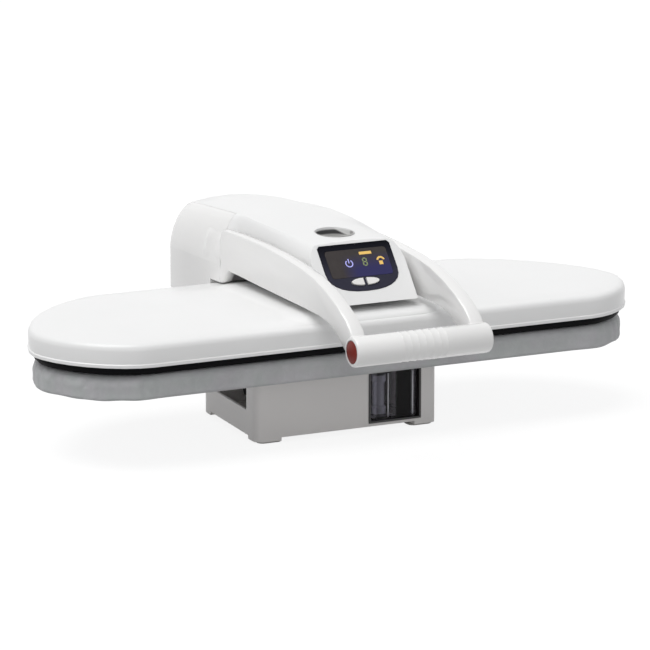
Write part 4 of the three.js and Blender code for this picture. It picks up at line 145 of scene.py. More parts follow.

# Console: share of the surround's height where its painted shade starts, and where the window turns
# blue
BEZEL_SHADE_SHARE = 0.35
WINDOW_BLUE_ACROSS = (-22 * MM, -4 * MM)
WINDOW_BLUE_DOWN = (200 * MM, 186 * MM)

# Window's tilt in degrees, and how high each sign's two faces lie over it, in millimetres
WINDOW_TILT = 51
SIGN_LIFTS = (0.04, 0.14)

# Signs, in millimetres right and up from the window's middle, each with its sizes and angles
POWER_RING = (-11.6, 0.0, 3.4, 4.6, 125, 415)
POWER_STEM = (-11.6, 2.9, 1.2, 5.2)
NUMBER = (7.3, 0.4, 4.2, 8.6, 1.35, 0.2)
SPRAY_ARC = (26.4, 0.2, 2.9, 5.0, 12, 168)
SPRAY_HEAD = (25.9, -2.4, 4.4, 4.4)
LEVEL_BAR = (10.8, 10.9, 14.6, 3.4)
ARC_STEPS = 14

# Figure's parts: how far bars and posts are shortened, in strokes, and the posts' share of the lean
BAR_SHORTENED = 0.9
POST_SHORTENED = 0.7
POST_LEAN = 0.2

# Outlines: digits kept of each place in metres, and rounds of smoothing
OUTLINE_DIGITS = 7
OUTLINE_ROUNDS = 12

# Ripples: seed, shortest and longest in metres, and how many are mixed
PAD_RIPPLE = (4, 0.05, 0.16, 7)
FINE_RIPPLE = (11, 0.02, 0.04, 9)
BROAD_RIPPLE = (12, 0.06, 0.14, 6)
RAGGED_RIPPLE = (13, 0.03, 0.09, 8)
WEAKEST_RIPPLE = 0.5

# Creases: seed, then shortest and longest step between them and their width, in metres
EDGE_CREASES = (21, 0.013, 0.03, 0.0032)
WEAKEST_CREASE = 0.4

# Foam pad: points round it, its length round, and shares of its outline for rings under and over it
PAD_POINTS = 480
PAD_ROUND = 1.8
PAD_RINGS_UNDER = (0.25, 0.6, 0.86, 0.97)
PAD_RINGS_OVER = (0.94, 0.86, 0.6, 0.25)

# Foam pad: where its ends begin, and how far it stands in, in millimetres, along it and at its ends
PAD_ENDS = (220 * MM, 300 * MM)
PAD_INSET = 0.2
PAD_END_INSET = 4.5

# Foam pad's rim: its radius as a share of the height, its turn in degrees with its steps, its sag
PAD_RIM_SHARE = 0.42
PAD_RIM_TURN = (-90, 90, 9)
PAD_SAG = 0.25 * MM

# Cloth: points round it, its thickness, where its ends begin, and shares of its outline for rings
CLOTH_POINTS = 1500
CLOTH_THICK = 0.6 * MM
CLOTH_ENDS = (235 * MM, 320 * MM)
CLOTH_RINGS = (0.3, 0.62, 0.84)

# Cloth's rolled edge: its radius in millimetres and what the ends add, then its turn with its steps
ROLL = 7.5
END_ROLL = 5
ROLL_TURN = (90, 0, 8)

# Cloth's side: its lines from just under the roll to the hem, its inset and belly in millimetres
SIDE_LINES = (0.12, 1, 9)
EDGE_INSET = 1.2
SIDE_BELLY = 0.3
BELLY_TURN = 3.1

# Cloth's hem: its inset and radius in millimetres, its turn with its steps, and its last two lines
HEM_INSET = 1.3
HEM_RADIUS = 2.5
HEM_TURN = (20, 90, 5)
HEM_LINES = (6, 8.5)
HEM_SLOPE = 0.1

# Cloth's creases in millimetres, and the shares in which they mix along the sides and at the ends
ROLL_GATHER = 2.2
SIDE_GATHER_LOSS = 0.3
HEM_GATHER = 1.9
INNER_GATHER = 0.9
SIDE_DROP = 1.1
HEM_DROP = 1.2
INNER_DROP = 1.0
SIDE_SHARE = 0.35
END_SHARE = 0.65
FINE_SHARE = 0.5
BROAD_SHARE = 0.4
FOLD_SHARE = 0.8

# Room that the cloth leaves round the steel pan
PAN_ROOM = 2.2 * MM
PAN_MARGIN = 1.5 * MM

# Skin over the arm's rear end: the stretch it covers, its grid, its smoothing and its thickness
FAIRING_FRONT = 62 * MM
FAIRING_REAR = 150 * MM
FAIRING_LOW = 112 * MM
FAIRING_HIGH = 200 * MM
FAIRING_STEP = 1.2 * MM
FAIRING_ROUNDS = 60
FAIRING_FADE = 6
FAIRING_SPREAD = 5
FAIRING_THICK = 0.8 * MM

# Skin's lift off the arm: full from this rise on, how high it is, and how deep the rest sinks
FAIRING_RISE = 0.3 * MM
FAIRING_LIFT = 0.23 * MM
FAIRING_SINK = 0.16 * MM

# Places next to one in the skin's grid, by axis and step, for its fading and for its smoothing
NEIGHBOURS = ((0, -1), (0, 1), (1, -1), (1, 1))
REACHES = ((0, -1), (0, 1), (0, -2), (0, 2), (1, -1), (1, 1))

# Tank's wall, and the ribs on its front, pale as a painted highlight, each by its share of the tank's
# width
TANK_WALL = 2.4 * MM
RIB_HALF = 0.6 * MM
RIB_RINGS = 5
RIBS = (("tank_rib_middle", 0.37), ("tank_rib_right", 0.88))
SIXTEENTHS = [math.tau * k / 16 for k in range(16)]

# Tank's tint across its width, as share of the width and grey, with painted shade of its inside in its
# darkest stretches, and the hue of its greys
TANK_HUE = (1, 0.98, 1.04)
TANK_TINT_AND_SHADE = (
    (0.0, 0.75),
    (0.12, 0.75),
    (0.15, 0.26),
    (0.36, 0.5),
    (0.53, 1.0),
    (0.56, 0.08),
    (0.84, 0.04),
    (0.88, 0.9),
    (1.0, 0.9),
)

# Names of the nodes that each finish covers
FINISHES = {
    "white_shell": ["hood_cover", "shoe_casing"],
    "grip_plastic": ["arm_housing"],
    "base_plastic": ["base_shell", "rear_column", "base_plate"],
    "sole_plastic": [
        "foot_front_left",
        "foot_front_right",
        "foot_rear_left",
        "foot_rear_right",
        "foot_column_left",
        "foot_column_right",
    ],
    "tank_smoke": ["tank_shell"],
    "tank_trim": ["tank_frame"],
    "clear_part": ["tank_valve"],
    "filter_grey": ["tank_filter"],
    "dark_part": [
        "tank_socket",
        "water_pump",
        "mains_gland",
        "stop_pad_left",
        "stop_pad_right",
        "steam_switch_left",
        "steam_switch_right",
        "display_module",
    ],
    "milky_hose": ["pump_hose"],
    "plate_coating": ["heating_plate"],
    "stove_ceramic": ["thermostat"],
    "sheet_steel": [
        "board_pan",
        "hinge_bracket",
        "arm_frame",
        "shoe_bracket",
        "steam_chamber_lid",
    ],
    "turned_steel": [
        "hinge_shaft",
        "pivot_pin",
        "lift_spring_left",
        "lift_spring_right",
        "heating_element",
        "button_spring_left",
        "button_spring_right",
    ],
    "bush_bronze": ["hinge_bush_left", "hinge_bush_right"],
    "cup_painted_light_and_shade": ["recess_cup"],
    "bezel_blue": ["console_bezel"],
    "window_smoke": ["display_window"],
    "circuit_board": ["control_board"],
    "key_white": ["key_left", "key_right"],
    "button_red": ["steam_button_left", "steam_button_right"],
}


def darker(colour, share):
    """The colour at a share of its brightness."""
    return tuple(part * share for part in colour)


class Shade:
    """A material's node tree, built step by step."""

    def __init__(self, name):
        self.material = bpy.data.materials.new(name)
        self.material.use_nodes = True
        self.tree = self.material.node_tree
        self.body = self.tree.nodes["Principled BSDF"]
        self.place = self.add("ShaderNodeTexCoord").outputs["Object"]

    def add(self, kind, **settings):
        node = self.tree.nodes.new(kind)
        for key, value in settings.items():
            setattr(node, key, value)
        return node

    def link(self, output, socket):
        self.tree.links.new(output, socket)

    def set(self, **values):
        """Plain values on the shader's own sockets, with _ for a space."""
        for key, value in values.items():
            self.body.inputs[key.replace("_", " ")].default_value = value

    def scaled(self, scale):
        """Place in the object's own frame, stretched along each axis."""
        node = self.add("ShaderNodeMapping")
        node.inputs["Scale"].default_value = scale
        self.link(self.place, node.inputs["Vector"])
        return node.outputs["Vector"]

    def noise(self, scale, detail=3.0, place=None):
        """Soft noise from 0 to 1 in the object's own frame."""
        node = self.add("ShaderNodeTexNoise")
        node.inputs["Scale"].default_value = scale
        node.inputs["Detail"].default_value = detail
        self.link(place or self.place, node.inputs["Vector"])
        return node.outputs["Fac"]

    def spread(self, value, low, high, start=0.0, stop=1.0):
        """From low at start to high at stop, and level outside."""
        node = self.add("ShaderNodeMapRange")
        node.inputs["From Min"].default_value = start
        node.inputs["From Max"].default_value = stop
        node.inputs["To Min"].default_value = low
        node.inputs["To Max"].default_value = high
        self.link(value, node.inputs["Value"])
        return node.outputs["Result"]

    def rise(self, value, start, stop):
        """From 0 at start to 1 at stop, and level outside."""
        return self.spread(value, 0.0, 1.0, start, stop)

    def tint(self, value, low, high):
        """Blend of two colours, each a plain one or another blend."""
        node = self.add("ShaderNodeMix", data_type="RGBA")
        for socket, colour in ((node.inputs["A"], low), (node.inputs["B"], high)):
            if isinstance(colour, tuple):
                socket.default_value = (*colour, 1)
            else:
                self.link(colour, socket)
        self.link(value, node.inputs["Factor"])
        return node.outputs["Result"]

    def along(self, axis):
        """Place along X, Y or Z in the object's own frame, in metres."""
        node = self.add("ShaderNodeSeparateXYZ")
        self.link(self.place, node.inputs["Vector"])
        return node.outputs[axis]

    def math(self, operation, first, second):
        """One sum of two values, each a plain one or another node's."""
        node = self.add("ShaderNodeMath", operation=operation)
        for socket, value in zip(node.inputs, (first, second)):
            if isinstance(value, (int, float)):
                socket.default_value = value
            else:
                self.link(value, socket)
        return node.outputs["Value"]

    def colour(self, output):
        self.link(output, self.body.inputs["Base Color"])

    def gloss(self, value, low, high):
        """Roughness that follows a value, from low to high."""
        self.link(self.spread(value, low, high), self.body.inputs["Roughness"])

    def bump(self, height, strength, distance, rounding=0.0):
        """Fine relief, over rounded edges where a rounding is given."""
        node = self.add("ShaderNodeBump")
        node.inputs["Strength"].default_value = strength
        node.inputs["Distance"].default_value = distance
        self.link(height, node.inputs["Height"])
        if rounding:
            edge = self.add("ShaderNodeBevel", samples=BEVEL_SAMPLES)
            edge.inputs["Radius"].default_value = rounding
            self.link(edge.outputs["Normal"], node.inputs["Normal"])
        self.link(node.outputs["Normal"], self.body.inputs["Normal"])

    def plastic(self, low, high, grain, rounding):
        """Uneven gloss, fine grain and rounded edges of moulded plastic."""
        self.gloss(self.noise(GLOSS_SCALE, 4.0), low, high)
        self.bump(self.noise(GRAIN_SCALE, 2.0), grain, GRAIN_DEPTH, rounding)

    def clear(self, low, high, ripple):
        """Faint haze and slight waviness of clear plastic."""
        self.gloss(self.noise(HAZE_SCALE, 3.0), low, high)
        self.bump(self.noise(RIPPLE_SCALE, 2.0), ripple, GRAIN_DEPTH, CLEAR_ROUNDING)


def moulded(name, colour, rough, grain=0.25, rounding=ROUNDING, **values):
    """Moulded plastic in one colour."""
    s = Shade(name)
    s.colour(s.tint(s.noise(PATCH_SCALE, 2.0), darker(colour, 1 - PATCH_DEPTH), colour))
    s.set(**values)
    s.plastic(rough - GLOSS_SWING, rough + GLOSS_SWING, grain, rounding)
    return s.material


def recess(name):
    """Grey plastic of the thumb recess: mid-grey floor, painted shade on its rear wall that is paler
    at its rim, and painted light on its right wall.
    """
    s = Shade(name)
    low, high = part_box("recess_cup")
    middle, radius = (low.y + high.y) / 2, (high.x - low.x) / 2
    height = s.math("SUBTRACT", s.along("Z"), high.z)
    rearward = s.rise(s.along("Y"), middle, middle + radius * CUP_SHADE_SHARE)
    raised = s.rise(height, *CUP_FLOOR)
    rim = s.rise(height, *CUP_RIM)
    slanted = s.math("ADD", s.along("X"), s.math("MULTIPLY", height, CUP_SLANT))
    right = s.math("MULTIPLY", rearward, s.rise(slanted, *CUP_LIGHT_ACROSS))
    floor = s.tint(s.noise(60, 3.0), (0.46, 0.455, 0.445), (0.52, 0.515, 0.505))
    # Painted shade: the rear wall goes dark deep down and paler towards the rim
    rear = s.tint(rim, (0.07, 0.07, 0.072), (0.5, 0.5, 0.5))
    wall = s.tint(s.math("MULTIPLY", rearward, raised), floor, rear)
    # Painted light: pale on the right wall
    s.colour(s.tint(right, wall, (0.8, 0.8, 0.79)))
    s.set(Specular_IOR_Level=0.2)
    s.plastic(0.3, 0.42, 0.12, 0.4 * MM)
    return s.material


def bezel(name):
    """Blue-black surround of the console, with painted shade that goes nearly black along its upper
    edge.
    """
    s = Shade(name)
    low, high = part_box("console_bezel")
    shaded_top = s.rise(s.along("Z"), low.z + (high.z - low.z) * BEZEL_SHADE_SHARE, high.z)
    blue = s.tint(s.noise(PATCH_SCALE, 2.0), (0.034, 0.034, 0.052), (0.042, 0.042, 0.062))
    # Painted shade: near black towards the upper edge
    s.colour(s.tint(shaded_top, blue, (0.0025, 0.0025, 0.005)))
    s.set(Specular_IOR_Level=0.05)
    s.plastic(0.35, 0.45, 0.08, ROUNDING)
    return s.material


def window(name):
    """Smoked window: brown-grey at the left, deep blue where the signs light it."""
    s = Shade(name)
    rightward = s.rise(s.along("X"), *WINDOW_BLUE_ACROSS)
    downward = s.rise(s.along("Z"), *WINDOW_BLUE_DOWN)
    lit_part = s.math("MULTIPLY", rightward, downward)
    plain = s.tint(s.noise(90, 3.0), (0.036, 0.03, 0.031), (0.058, 0.049, 0.047))
    s.colour(s.tint(lit_part, plain, (0.028, 0.026, 0.11)))
    s.set(Specular_IOR_Level=0.2)
    s.clear(0.1, 0.16, 0.02)
    return s.material


def smoked(name, colour, rough, share):
    """See-through plastic with a faint haze."""
    s = Shade(name)
    s.colour(s.tint(s.noise(30, 3.0), darker(colour, 0.8), colour))
    s.set(Transmission_Weight=share, IOR=1.49, Specular_IOR_Level=CLEAR_SPECULAR)
    s.clear(rough * 0.7, rough * 1.4, 0.06)
    return s.material


def tank(name):
    """Smoked tank, clearer at its sides and its middle, with painted shade of its inside that goes
    nearly black before its right rib.
    """
    s = Shade(name)
    low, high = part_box("tank_shell")
    # Painted shade: the darkest stretches of the tint stand in for the tank's shaded inside
    ramp = s.add("ShaderNodeValToRGB")
    stops = ramp.color_ramp.elements
    while len(stops) < len(TANK_TINT_AND_SHADE):
        stops.new(0.5)
    for stop, (share, grey) in zip(stops, TANK_TINT_AND_SHADE):
        stop.position = share
        stop.color = (*(grey * part for part in TANK_HUE), 1)
    s.link(s.rise(s.along("X"), low.x, high.x), ramp.inputs["Fac"])
    s.colour(ramp.outputs["Color"])
    s.set(Transmission_Weight=0.97, IOR=1.2, Specular_IOR_Level=CLEAR_SPECULAR)
    s.clear(0.04, 0.08, 0.06)
    return s.material


def metal(name, colour, rough, stretch):
    """Drawn or turned metal, with fine lines along one way."""
    s = Shade(name)
    lines = s.noise(LINE_SCALE, 5.0, s.scaled(stretch))
    s.colour(s.tint(lines, darker(colour, LINE_SHADE), colour))
    s.gloss(lines, rough + LINE_GLOSS[0], rough + LINE_GLOSS[1])
    s.set(Metallic=1.0)
    s.bump(lines, LINE_RELIEF, LINE_DEPTH, METAL_ROUNDING)
    return s.material


def coating(name):
    """Dark non-stick coating with pale specks."""
    s = Shade(name)
    stretched_noise = s.spread(s.noise(SPECK_SCALE, 1.0), *SPECK_RANGE)
    specks = s.math("MINIMUM", s.math("MAXIMUM", stretched_noise, 0.0), 1.0)
    s.colour(s.tint(specks, (0.004, 0.004, 0.0045), (0.012, 0.012, 0.013)))
    s.gloss(s.noise(40, 3.0), 0.42, 0.6)
    s.set(Specular_IOR_Level=0.03)
    s.bump(s.noise(1500, 3.0), 0.35, GRAIN_DEPTH, COATING_ROUNDING)
    return s.material


def circuit(name):
    """Green board with a lattice of paler tracks."""
    s = Shade(name)
    brick = s.add("ShaderNodeTexBrick")
    brick.inputs["Scale"].default_value = TRACK_SCALE
    brick.inputs["Color1"].default_value = (0.02, 0.16, 0.05, 1)
    brick.inputs["Color2"].default_value = (0.03, 0.2, 0.07, 1)
    brick.inputs["Mortar"].default_value = (0.1, 0.34, 0.14, 1)
    s.link(s.place, brick.inputs["Vector"])
    s.colour(brick.outputs["Color"])
    s.set(Roughness=0.4)
    s.bump(brick.outputs["Fac"], 0.2, GRAIN_DEPTH)
    return s.material


def foam(name):
    """Open foam with small pores."""
    s = Shade(name)
    cells = s.add("ShaderNodeTexVoronoi")
    cells.inputs["Scale"].default_value = PORE_SCALE
    s.link(s.place, cells.inputs["Vector"])
    s.colour(s.tint(cells.outputs["Distance"], (0.33, 0.3, 0.22), (0.66, 0.62, 0.5)))
    s.set(Roughness=0.95)
    s.bump(cells.outputs["Distance"], 0.6, PORE_DEPTH)
    return s.material


def woven(name):
    """Silver-grey coated cloth: two crossed rows of threads and a soft mottle."""
    s = Shade(name)
    rows = []
    for direction in ("X", "Y"):
        wave = s.add("ShaderNodeTexWave", bands_direction=direction)
        wave.inputs["Scale"].default_value = THREAD_SCALE
        wave.inputs["Distortion"].default_value = THREAD_WAVER
        s.link(s.place, wave.inputs["Vector"])
        rows.append(wave.outputs["Fac"])
    weave = s.math("MULTIPLY", rows[0], rows[1])
    mottle = s.math("MULTIPLY", weave, THREAD_TONE)
    for scale, share in (BROAD_MOTTLE, SMALL_MOTTLE):
        mottle = s.math("ADD", mottle, s.math("MULTIPLY", s.noise(scale, 4.0), share))
    warm = s.tint(mottle, (0.375, 0.37, 0.385), (0.6, 0.595, 0.61))
    cool = s.tint(mottle, (0.36, 0.375, 0.375), (0.58, 0.6, 0.595))
    s.colour(s.tint(s.rise(s.noise(TINGE_SCALE, 2.0), *TINGE_RANGE), warm, cool))
    s.gloss(s.noise(90, 3.0), 0.55, 0.75)
    s.set(Sheen_Weight=0.2, Sheen_Roughness=0.4)
    threads = s.math("ADD", s.math("MULTIPLY", weave, THREAD_RELIEF), s.noise(240, 4.0))
    s.bump(threads, 0.35, THREAD_DEPTH)
    return s.material


def lit(name, colour, strength):
    """A lit segment of the display."""
    s = Shade(name)
    glow = s.tint(s.noise(500, 1.0), darker(colour, 0.9), colour)
    s.colour(glow)
    s.link(glow, s.body.inputs["Emission Color"])
    s.set(Emission_Strength=strength, Roughness=0.4)
    return s.material


MATERIALS = {
    "white_shell": moulded("white_shell", (0.88, 0.88, 0.875), 0.3, 0.12, 0.35 * MM),
    "grip_plastic": moulded(
        "grip_plastic",
        (0.87, 0.865, 0.855),
        0.36,
        0.2,
        1.2 * MM,
        Coat_Weight=1.0,
        Coat_Roughness=0.14,
    ),
    "base_plastic": moulded("base_plastic", (0.88, 0.855, 0.835), 0.45, 0.35, 1.2 * MM),
    "sole_plastic": moulded("sole_plastic", (0.55, 0.54, 0.52), 0.7, 0.4),
    "tank_smoke": tank("tank_smoke"),
    "tank_trim": moulded("tank_trim", (0.024, 0.023, 0.024), 0.3, 0.15),
    "clear_part": smoked("clear_part", (0.82, 0.85, 0.9), 0.12, 0.7),
    # Pale ribs: painted highlight lines on the tank's front
    "rib_painted_highlight": moulded("rib_painted_highlight", (0.9, 0.9, 0.95), 0.2, 0.05, Transmission_Weight=0.2),
    "filter_grey": moulded("filter_grey", (0.8, 0.82, 0.9), 0.3, 0.2),
    "dark_part": moulded("dark_part", (0.02, 0.02, 0.022), 0.5, 0.3),
    "milky_hose": moulded("milky_hose", (0.7, 0.72, 0.72), 0.35, 0.15, Transmission_Weight=0.3),
    "plate_coating": coating("plate_coating"),
    "stove_ceramic": moulded("stove_ceramic", (0.74, 0.7, 0.6), 0.4, 0.3),
    "sheet_steel": metal("sheet_steel", (0.55, 0.56, 0.58), 0.36, (0.05, 1, 1)),
    "turned_steel": metal("turned_steel", (0.62, 0.63, 0.65), 0.25, (1, 0.05, 0.05)),
    "bush_bronze": metal("bush_bronze", (0.6, 0.4, 0.18), 0.42, (1, 0.2, 0.2)),
    "cup_painted_light_and_shade": recess("cup_painted_light_and_shade"),
    "bezel_blue": bezel("bezel_blue"),
    "window_smoke": window("window_smoke"),
    "circuit_board": circuit("circuit_board"),
    "key_white": moulded("key_white", (0.88, 0.87, 0.85), 0.3, 0.1, 0.9 * MM),
    "button_red": moulded("button_red", (0.21, 0.022, 0.014), 0.35, 0.06, Specular_IOR_Level=0.2),
    "foam": foam("foam"),
    "cover_cloth": woven("cover_cloth"),
    "lit_blue": lit("lit_blue", (0.4, 0.4, 0.85), 0.35),
    "lit_green": lit("lit_green", (0.17, 0.21, 0.09), 0.4),
    "lit_amber": lit("lit_amber", (0.72, 0.46, 0.12), 0.35),
}


def smoothing_group():
    """Geometry nodes that join split corners, shade smooth and keep sharp edges sharp."""
    group = bpy.data.node_groups.new("weld_and_smooth", "GeometryNodeTree")
    group.interface.new_socket("Geometry", in_out="INPUT", socket_type="NodeSocketGeometry")
    group.interface.new_socket("Geometry", in_out="OUTPUT", socket_type="NodeSocketGeometry")
    nodes, links = group.nodes, group.links
    start, end = nodes.new("NodeGroupInput"), nodes.new("NodeGroupOutput")
    weld = nodes.new("GeometryNodeMergeByDistance")
    weld.inputs["Distance"].default_value = WELD_DISTANCE
    soft = nodes.new("GeometryNodeSetShadeSmooth")
    bend = nodes.new("GeometryNodeInputMeshEdgeAngle")
    compare = nodes.new("FunctionNodeCompare")
    compare.operation = "GREATER_THAN"
    compare.inputs["B"].default_value = math.radians(SHARP_ANGLE)
    sharp = nodes.new("GeometryNodeSetShadeSmooth")
    sharp.domain = "EDGE"
    sharp.inputs["Shade Smooth"].default_value = False
    links.new(start.outputs[0], weld.inputs["Geometry"])
    links.new(weld.outputs["Geometry"], soft.inputs["Geometry"])
    links.new(bend.outputs["Unsigned Angle"], compare.inputs["A"])
    links.new(soft.outputs["Geometry"], sharp.inputs["Geometry"])
    links.new(compare.outputs["Result"], sharp.inputs["Selection"])
    links.new(sharp.outputs["Geometry"], end.inputs[0])
    return group


SMOOTHING = smoothing_group()


def smooth(obj):
    """Shade a solid by the shared group, in place of any normals that came with it."""
    if "custom_normal" in obj.data.attributes:
        obj.data.attributes.remove(obj.data.attributes["custom_normal"])
    modifier = obj.modifiers.new("weld_and_smooth", "NODES")
    modifier.node_group = SMOOTHING


def dress(obj, material):
    """Give an object its material."""
    obj.data.materials.clear()
    obj.data.materials.append(MATERIALS[material])


for finish, names in FINISHES.items():
    for name in names:
        smooth(NODES[name])
        dress(NODES[name], finish)


def mesh_object(name, points, faces, flat=False):
    """A new object in the scene, from its points and faces."""
    mesh = bpy.data.meshes.new(name)
    mesh.from_pydata([tuple(p) for p in points], [], faces)
    mesh.validate()
    mesh.update()
    for polygon in mesh.polygons:
        polygon.use_smooth = not flat
    obj = bpy.data.objects.new(name, mesh)
    SCENE.collection.objects.link(obj)
    return obj


def thicken(obj, thickness):
    """Give a sheet its thickness on the inner side."""
    modifier = obj.modifiers.new("thickness", "SOLIDIFY")
    modifier.thickness = thickness
    modifier.offset = -1


def body_of_node(name):
    """The body that a node of the record moves with."""
    for body, members in frame["record"]["behaviour"]["bodies"].items():
        if name in members:
            return body
    raise KeyError(name)


def node_points(name):
    """All points of a node, one in each row."""
    return np.array([v.co for v in NODES[name].data.vertices], float)


def fade(value, low, high):
    """Soft step from 0 at low to 1 at high."""
    t = np.clip((value - low) / (high - low), 0, 1)
    return t * t * (3 - 2 * t)


def hull(points):
    """Outline round points in a plane, counter-clockwise."""
    ordered = sorted(set(map(tuple, np.round(points, OUTLINE_DIGITS))))

    def half(run):
        """One side of the outline, along points in order."""
        chain = []
        for p in run:
            while len(chain) > 1:
                a, b = chain[-2], chain[-1]
                if (b[0] - a[0]) * (p[1] - a[1]) - (b[1] - a[1]) * (p[0] - a[0]) > 0:
                    break
                chain.pop()
            chain.append(p)
        return chain[:-1]

    return np.array(half(ordered) + half(ordered[::-1]))


def evenly(outline, count):
    """The closed outline with count points at even steps, the outward way at each, and its length."""
    closed = np.vstack([outline, outline[:1]])
    steps = np.linalg.norm(np.diff(closed, axis=0), axis=1)
    reach = np.concatenate([[0], np.cumsum(steps)])
    at = np.linspace(0, reach[-1], count, endpoint=False)
    points = np.stack([np.interp(at, reach, closed[:, k]) for k in (0, 1)], 1)
    for _ in range(OUTLINE_ROUNDS):
        points = (np.roll(points, 1, 0) + 2 * points + np.roll(points, -1, 0)) / 4
    ways = np.roll(points, -1, 0) - np.roll(points, 1, 0)
    ways = np.stack([ways[:, 1], -ways[:, 0]], 1)
    return points, ways / np.linalg.norm(ways, axis=1)[:, None], reach[-1]


def waves(count, length, seed, shortest, longest, rows):
    """Smooth random ripple round a closed line, between about -1 and 1."""
    rng = np.random.default_rng(seed)
    t = np.arange(count) / count * 2 * math.pi
    total = np.zeros(count)
    for _ in range(rows):
        count_round = round(length / rng.uniform(shortest, longest))
        ripple = np.cos(count_round * t + rng.uniform(0, 2 * math.pi))
        total += ripple * rng.uniform(WEAKEST_RIPPLE, 1)
    return total / np.abs(total).max()


def creases(count, length, seed, shortest, longest, width):
    """Narrow valleys round a closed line, at uneven steps: 0 between them and 1 in each."""
    rng = np.random.default_rng(seed)
    at = np.arange(count) / count * length
    depth, place = np.zeros(count), 0.0
    while place < length - shortest:
        away = np.abs(at - place)
        away = np.minimum(away, length - away)
        valley = np.exp(-((away / width) ** 2)) * rng.uniform(WEAKEST_CREASE, 1)
        depth = np.maximum(depth, valley)
        place += rng.uniform(shortest, longest)
    return depth


def ringed(name, rings, cap_first, cap_last=None):
    """A skin through closed rings, with a fan to a middle point at its first end or at both."""
    count = len(rings[0])
    last = (len(rings) - 1) * count
    points = np.vstack(rings).tolist()
    faces = []
    for base in range(0, last, count):
        for i in range(count):
            j = (i + 1) % count
            faces.append((base + i, base + j, base + count + j, base + count + i))
    for cap, base, flip in ((cap_first, 0, True), (cap_last, last, False)):
        if cap is None:
            continue
        middle = len(points)
        points.append(list(cap))
        for i in range(count):
            j = (i + 1) % count
            faces.append((base + j, base + i, middle) if flip else (base + i, base + j, middle))
    return mesh_object(name, points, faces)


def turns(start, stop, steps):
    """Cosine and sine at even steps from start to stop, in degrees."""
    angles = np.radians(np.linspace(start, stop, steps))
    return [(math.cos(a), math.sin(a)) for a in angles]


def board_pad():
    """Foam pad with a soft crown and rounded rim."""
    low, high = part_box("foam_pad")
    outline = hull(node_points("foam_pad")[:, :2])
    edge, out, _ = evenly(outline, PAD_POINTS)
    end = fade(np.abs(edge[:, 0]), *PAD_ENDS)[:, None]
    edge = edge - out * (PAD_INSET + PAD_END_INSET * end) * MM
    sag = PAD_SAG * waves(PAD_POINTS, PAD_ROUND, *PAD_RIPPLE)
    rings = []

    def ring(points, z):
        """One line round the pad, all at one height."""
        rings.append(np.column_stack([points, np.full(PAD_POINTS, z)]))

    for share in PAD_RINGS_UNDER:
        ring(edge * share, low.z)
    radius = (high.z - low.z) * PAD_RIM_SHARE
    for level, rise in turns(*PAD_RIM_TURN):
        inward = radius * (1 - level) + sag * level
        centre = low.z + radius if rise <= 0 else high.z - radius
        ring(edge - out * inward[:, None], centre + radius * rise)
    for share in PAD_RINGS_OVER:
        ring(edge * share, high.z)
    pad = ringed("pad_foam", rings, (0, 0, low.z), (0, 0, high.z))
    dress(pad, "foam")
    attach(pad, body_of_node("foam_pad"))
    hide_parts("foam_pad")


def board_cloth():
    """Fitted cover: smooth top, rolled side with gathers at both ends and a drawn-in hem."""
    low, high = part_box("board_cover")
    beside_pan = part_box("board_pan")[1].z + PAN_MARGIN
    outline = hull(node_points("board_cover")[:, :2])
    edge, out, length = evenly(outline, CLOTH_POINTS)
    end = fade(np.abs(edge[:, 0]), *CLOTH_ENDS)
    fine = waves(CLOTH_POINTS, length, *FINE_RIPPLE)
    folds = creases(CLOTH_POINTS, length, *EDGE_CREASES)
    broad = waves(CLOTH_POINTS, length, *BROAD_RIPPLE)
    ragged = waves(CLOTH_POINTS, length, *RAGGED_RIPPLE)
    relief = FINE_SHARE * fine + BROAD_SHARE * broad - FOLD_SHARE * folds
    relief = (SIDE_SHARE + END_SHARE * end) * relief
    top, bottom = high.z - CLOTH_THICK, low.z + CLOTH_THICK
    rings = []
    for share in CLOTH_RINGS:
        rings.append(np.column_stack([edge * share, np.full(CLOTH_POINTS, top)]))

    def ring(inward, z, gather, drop=0.0):
        """One line round the edge: gather and drop are in millimetres."""
        depth = inward - gather * MM * relief
        heights = z - drop * MM * end * (1 + ragged) + np.zeros(CLOTH_POINTS)
        held = np.minimum(depth, np.maximum(inward, PAN_ROOM))
        depth = np.where(heights < beside_pan, held, depth)
        rings.append(np.column_stack([edge - out * depth[:, None], heights]))

    roll = (ROLL + END_ROLL * end) * MM
    for level, rise in turns(*ROLL_TURN):
        ring(EDGE_INSET * MM + roll * (1 - level), top - roll * (1 - rise), ROLL_GATHER * level)
    side = top - roll
    for step in np.linspace(*SIDE_LINES):
        belly = EDGE_INSET + SIDE_BELLY * math.sin(step * BELLY_TURN)
        z = side + (bottom + HEM_RADIUS * MM - side) * step
        ring(belly * MM, z, ROLL_GATHER - SIDE_GATHER_LOSS * step, SIDE_DROP * step)
    for level, rise in turns(*HEM_TURN):
        inward = (HEM_INSET + HEM_RADIUS * (1 - level)) * MM
        ring(inward, bottom + HEM_RADIUS * MM * (1 - rise), HEM_GATHER * level, HEM_DROP)
    for inset in HEM_LINES:
        ring(inset * MM, bottom + HEM_SLOPE * inset * MM, INNER_GATHER, INNER_DROP)
    cloth = ringed("cover_cloth", rings, (0, 0, top))
    thicken(cloth, CLOTH_THICK)
    dress(cloth, "cover_cloth")
    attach(cloth, body_of_node("board_cover"))
    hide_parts("board_cover")


board_pad()
board_cloth()


def face_axes():
    """Middle of the display window's outer face and its right, up and outward ways."""
    points = node_points("display_window")
    tilt = math.radians(WINDOW_TILT)
    out = np.array([0, -math.sin(tilt), math.cos(tilt)])
    up = np.array([0, math.cos(tilt), math.sin(tilt)])
    along_up = points @ up
    centre = up * (along_up.min() + along_up.max()) / 2 + out * (points @ out).max()
    return centre, np.array([1.0, 0, 0]), up, out


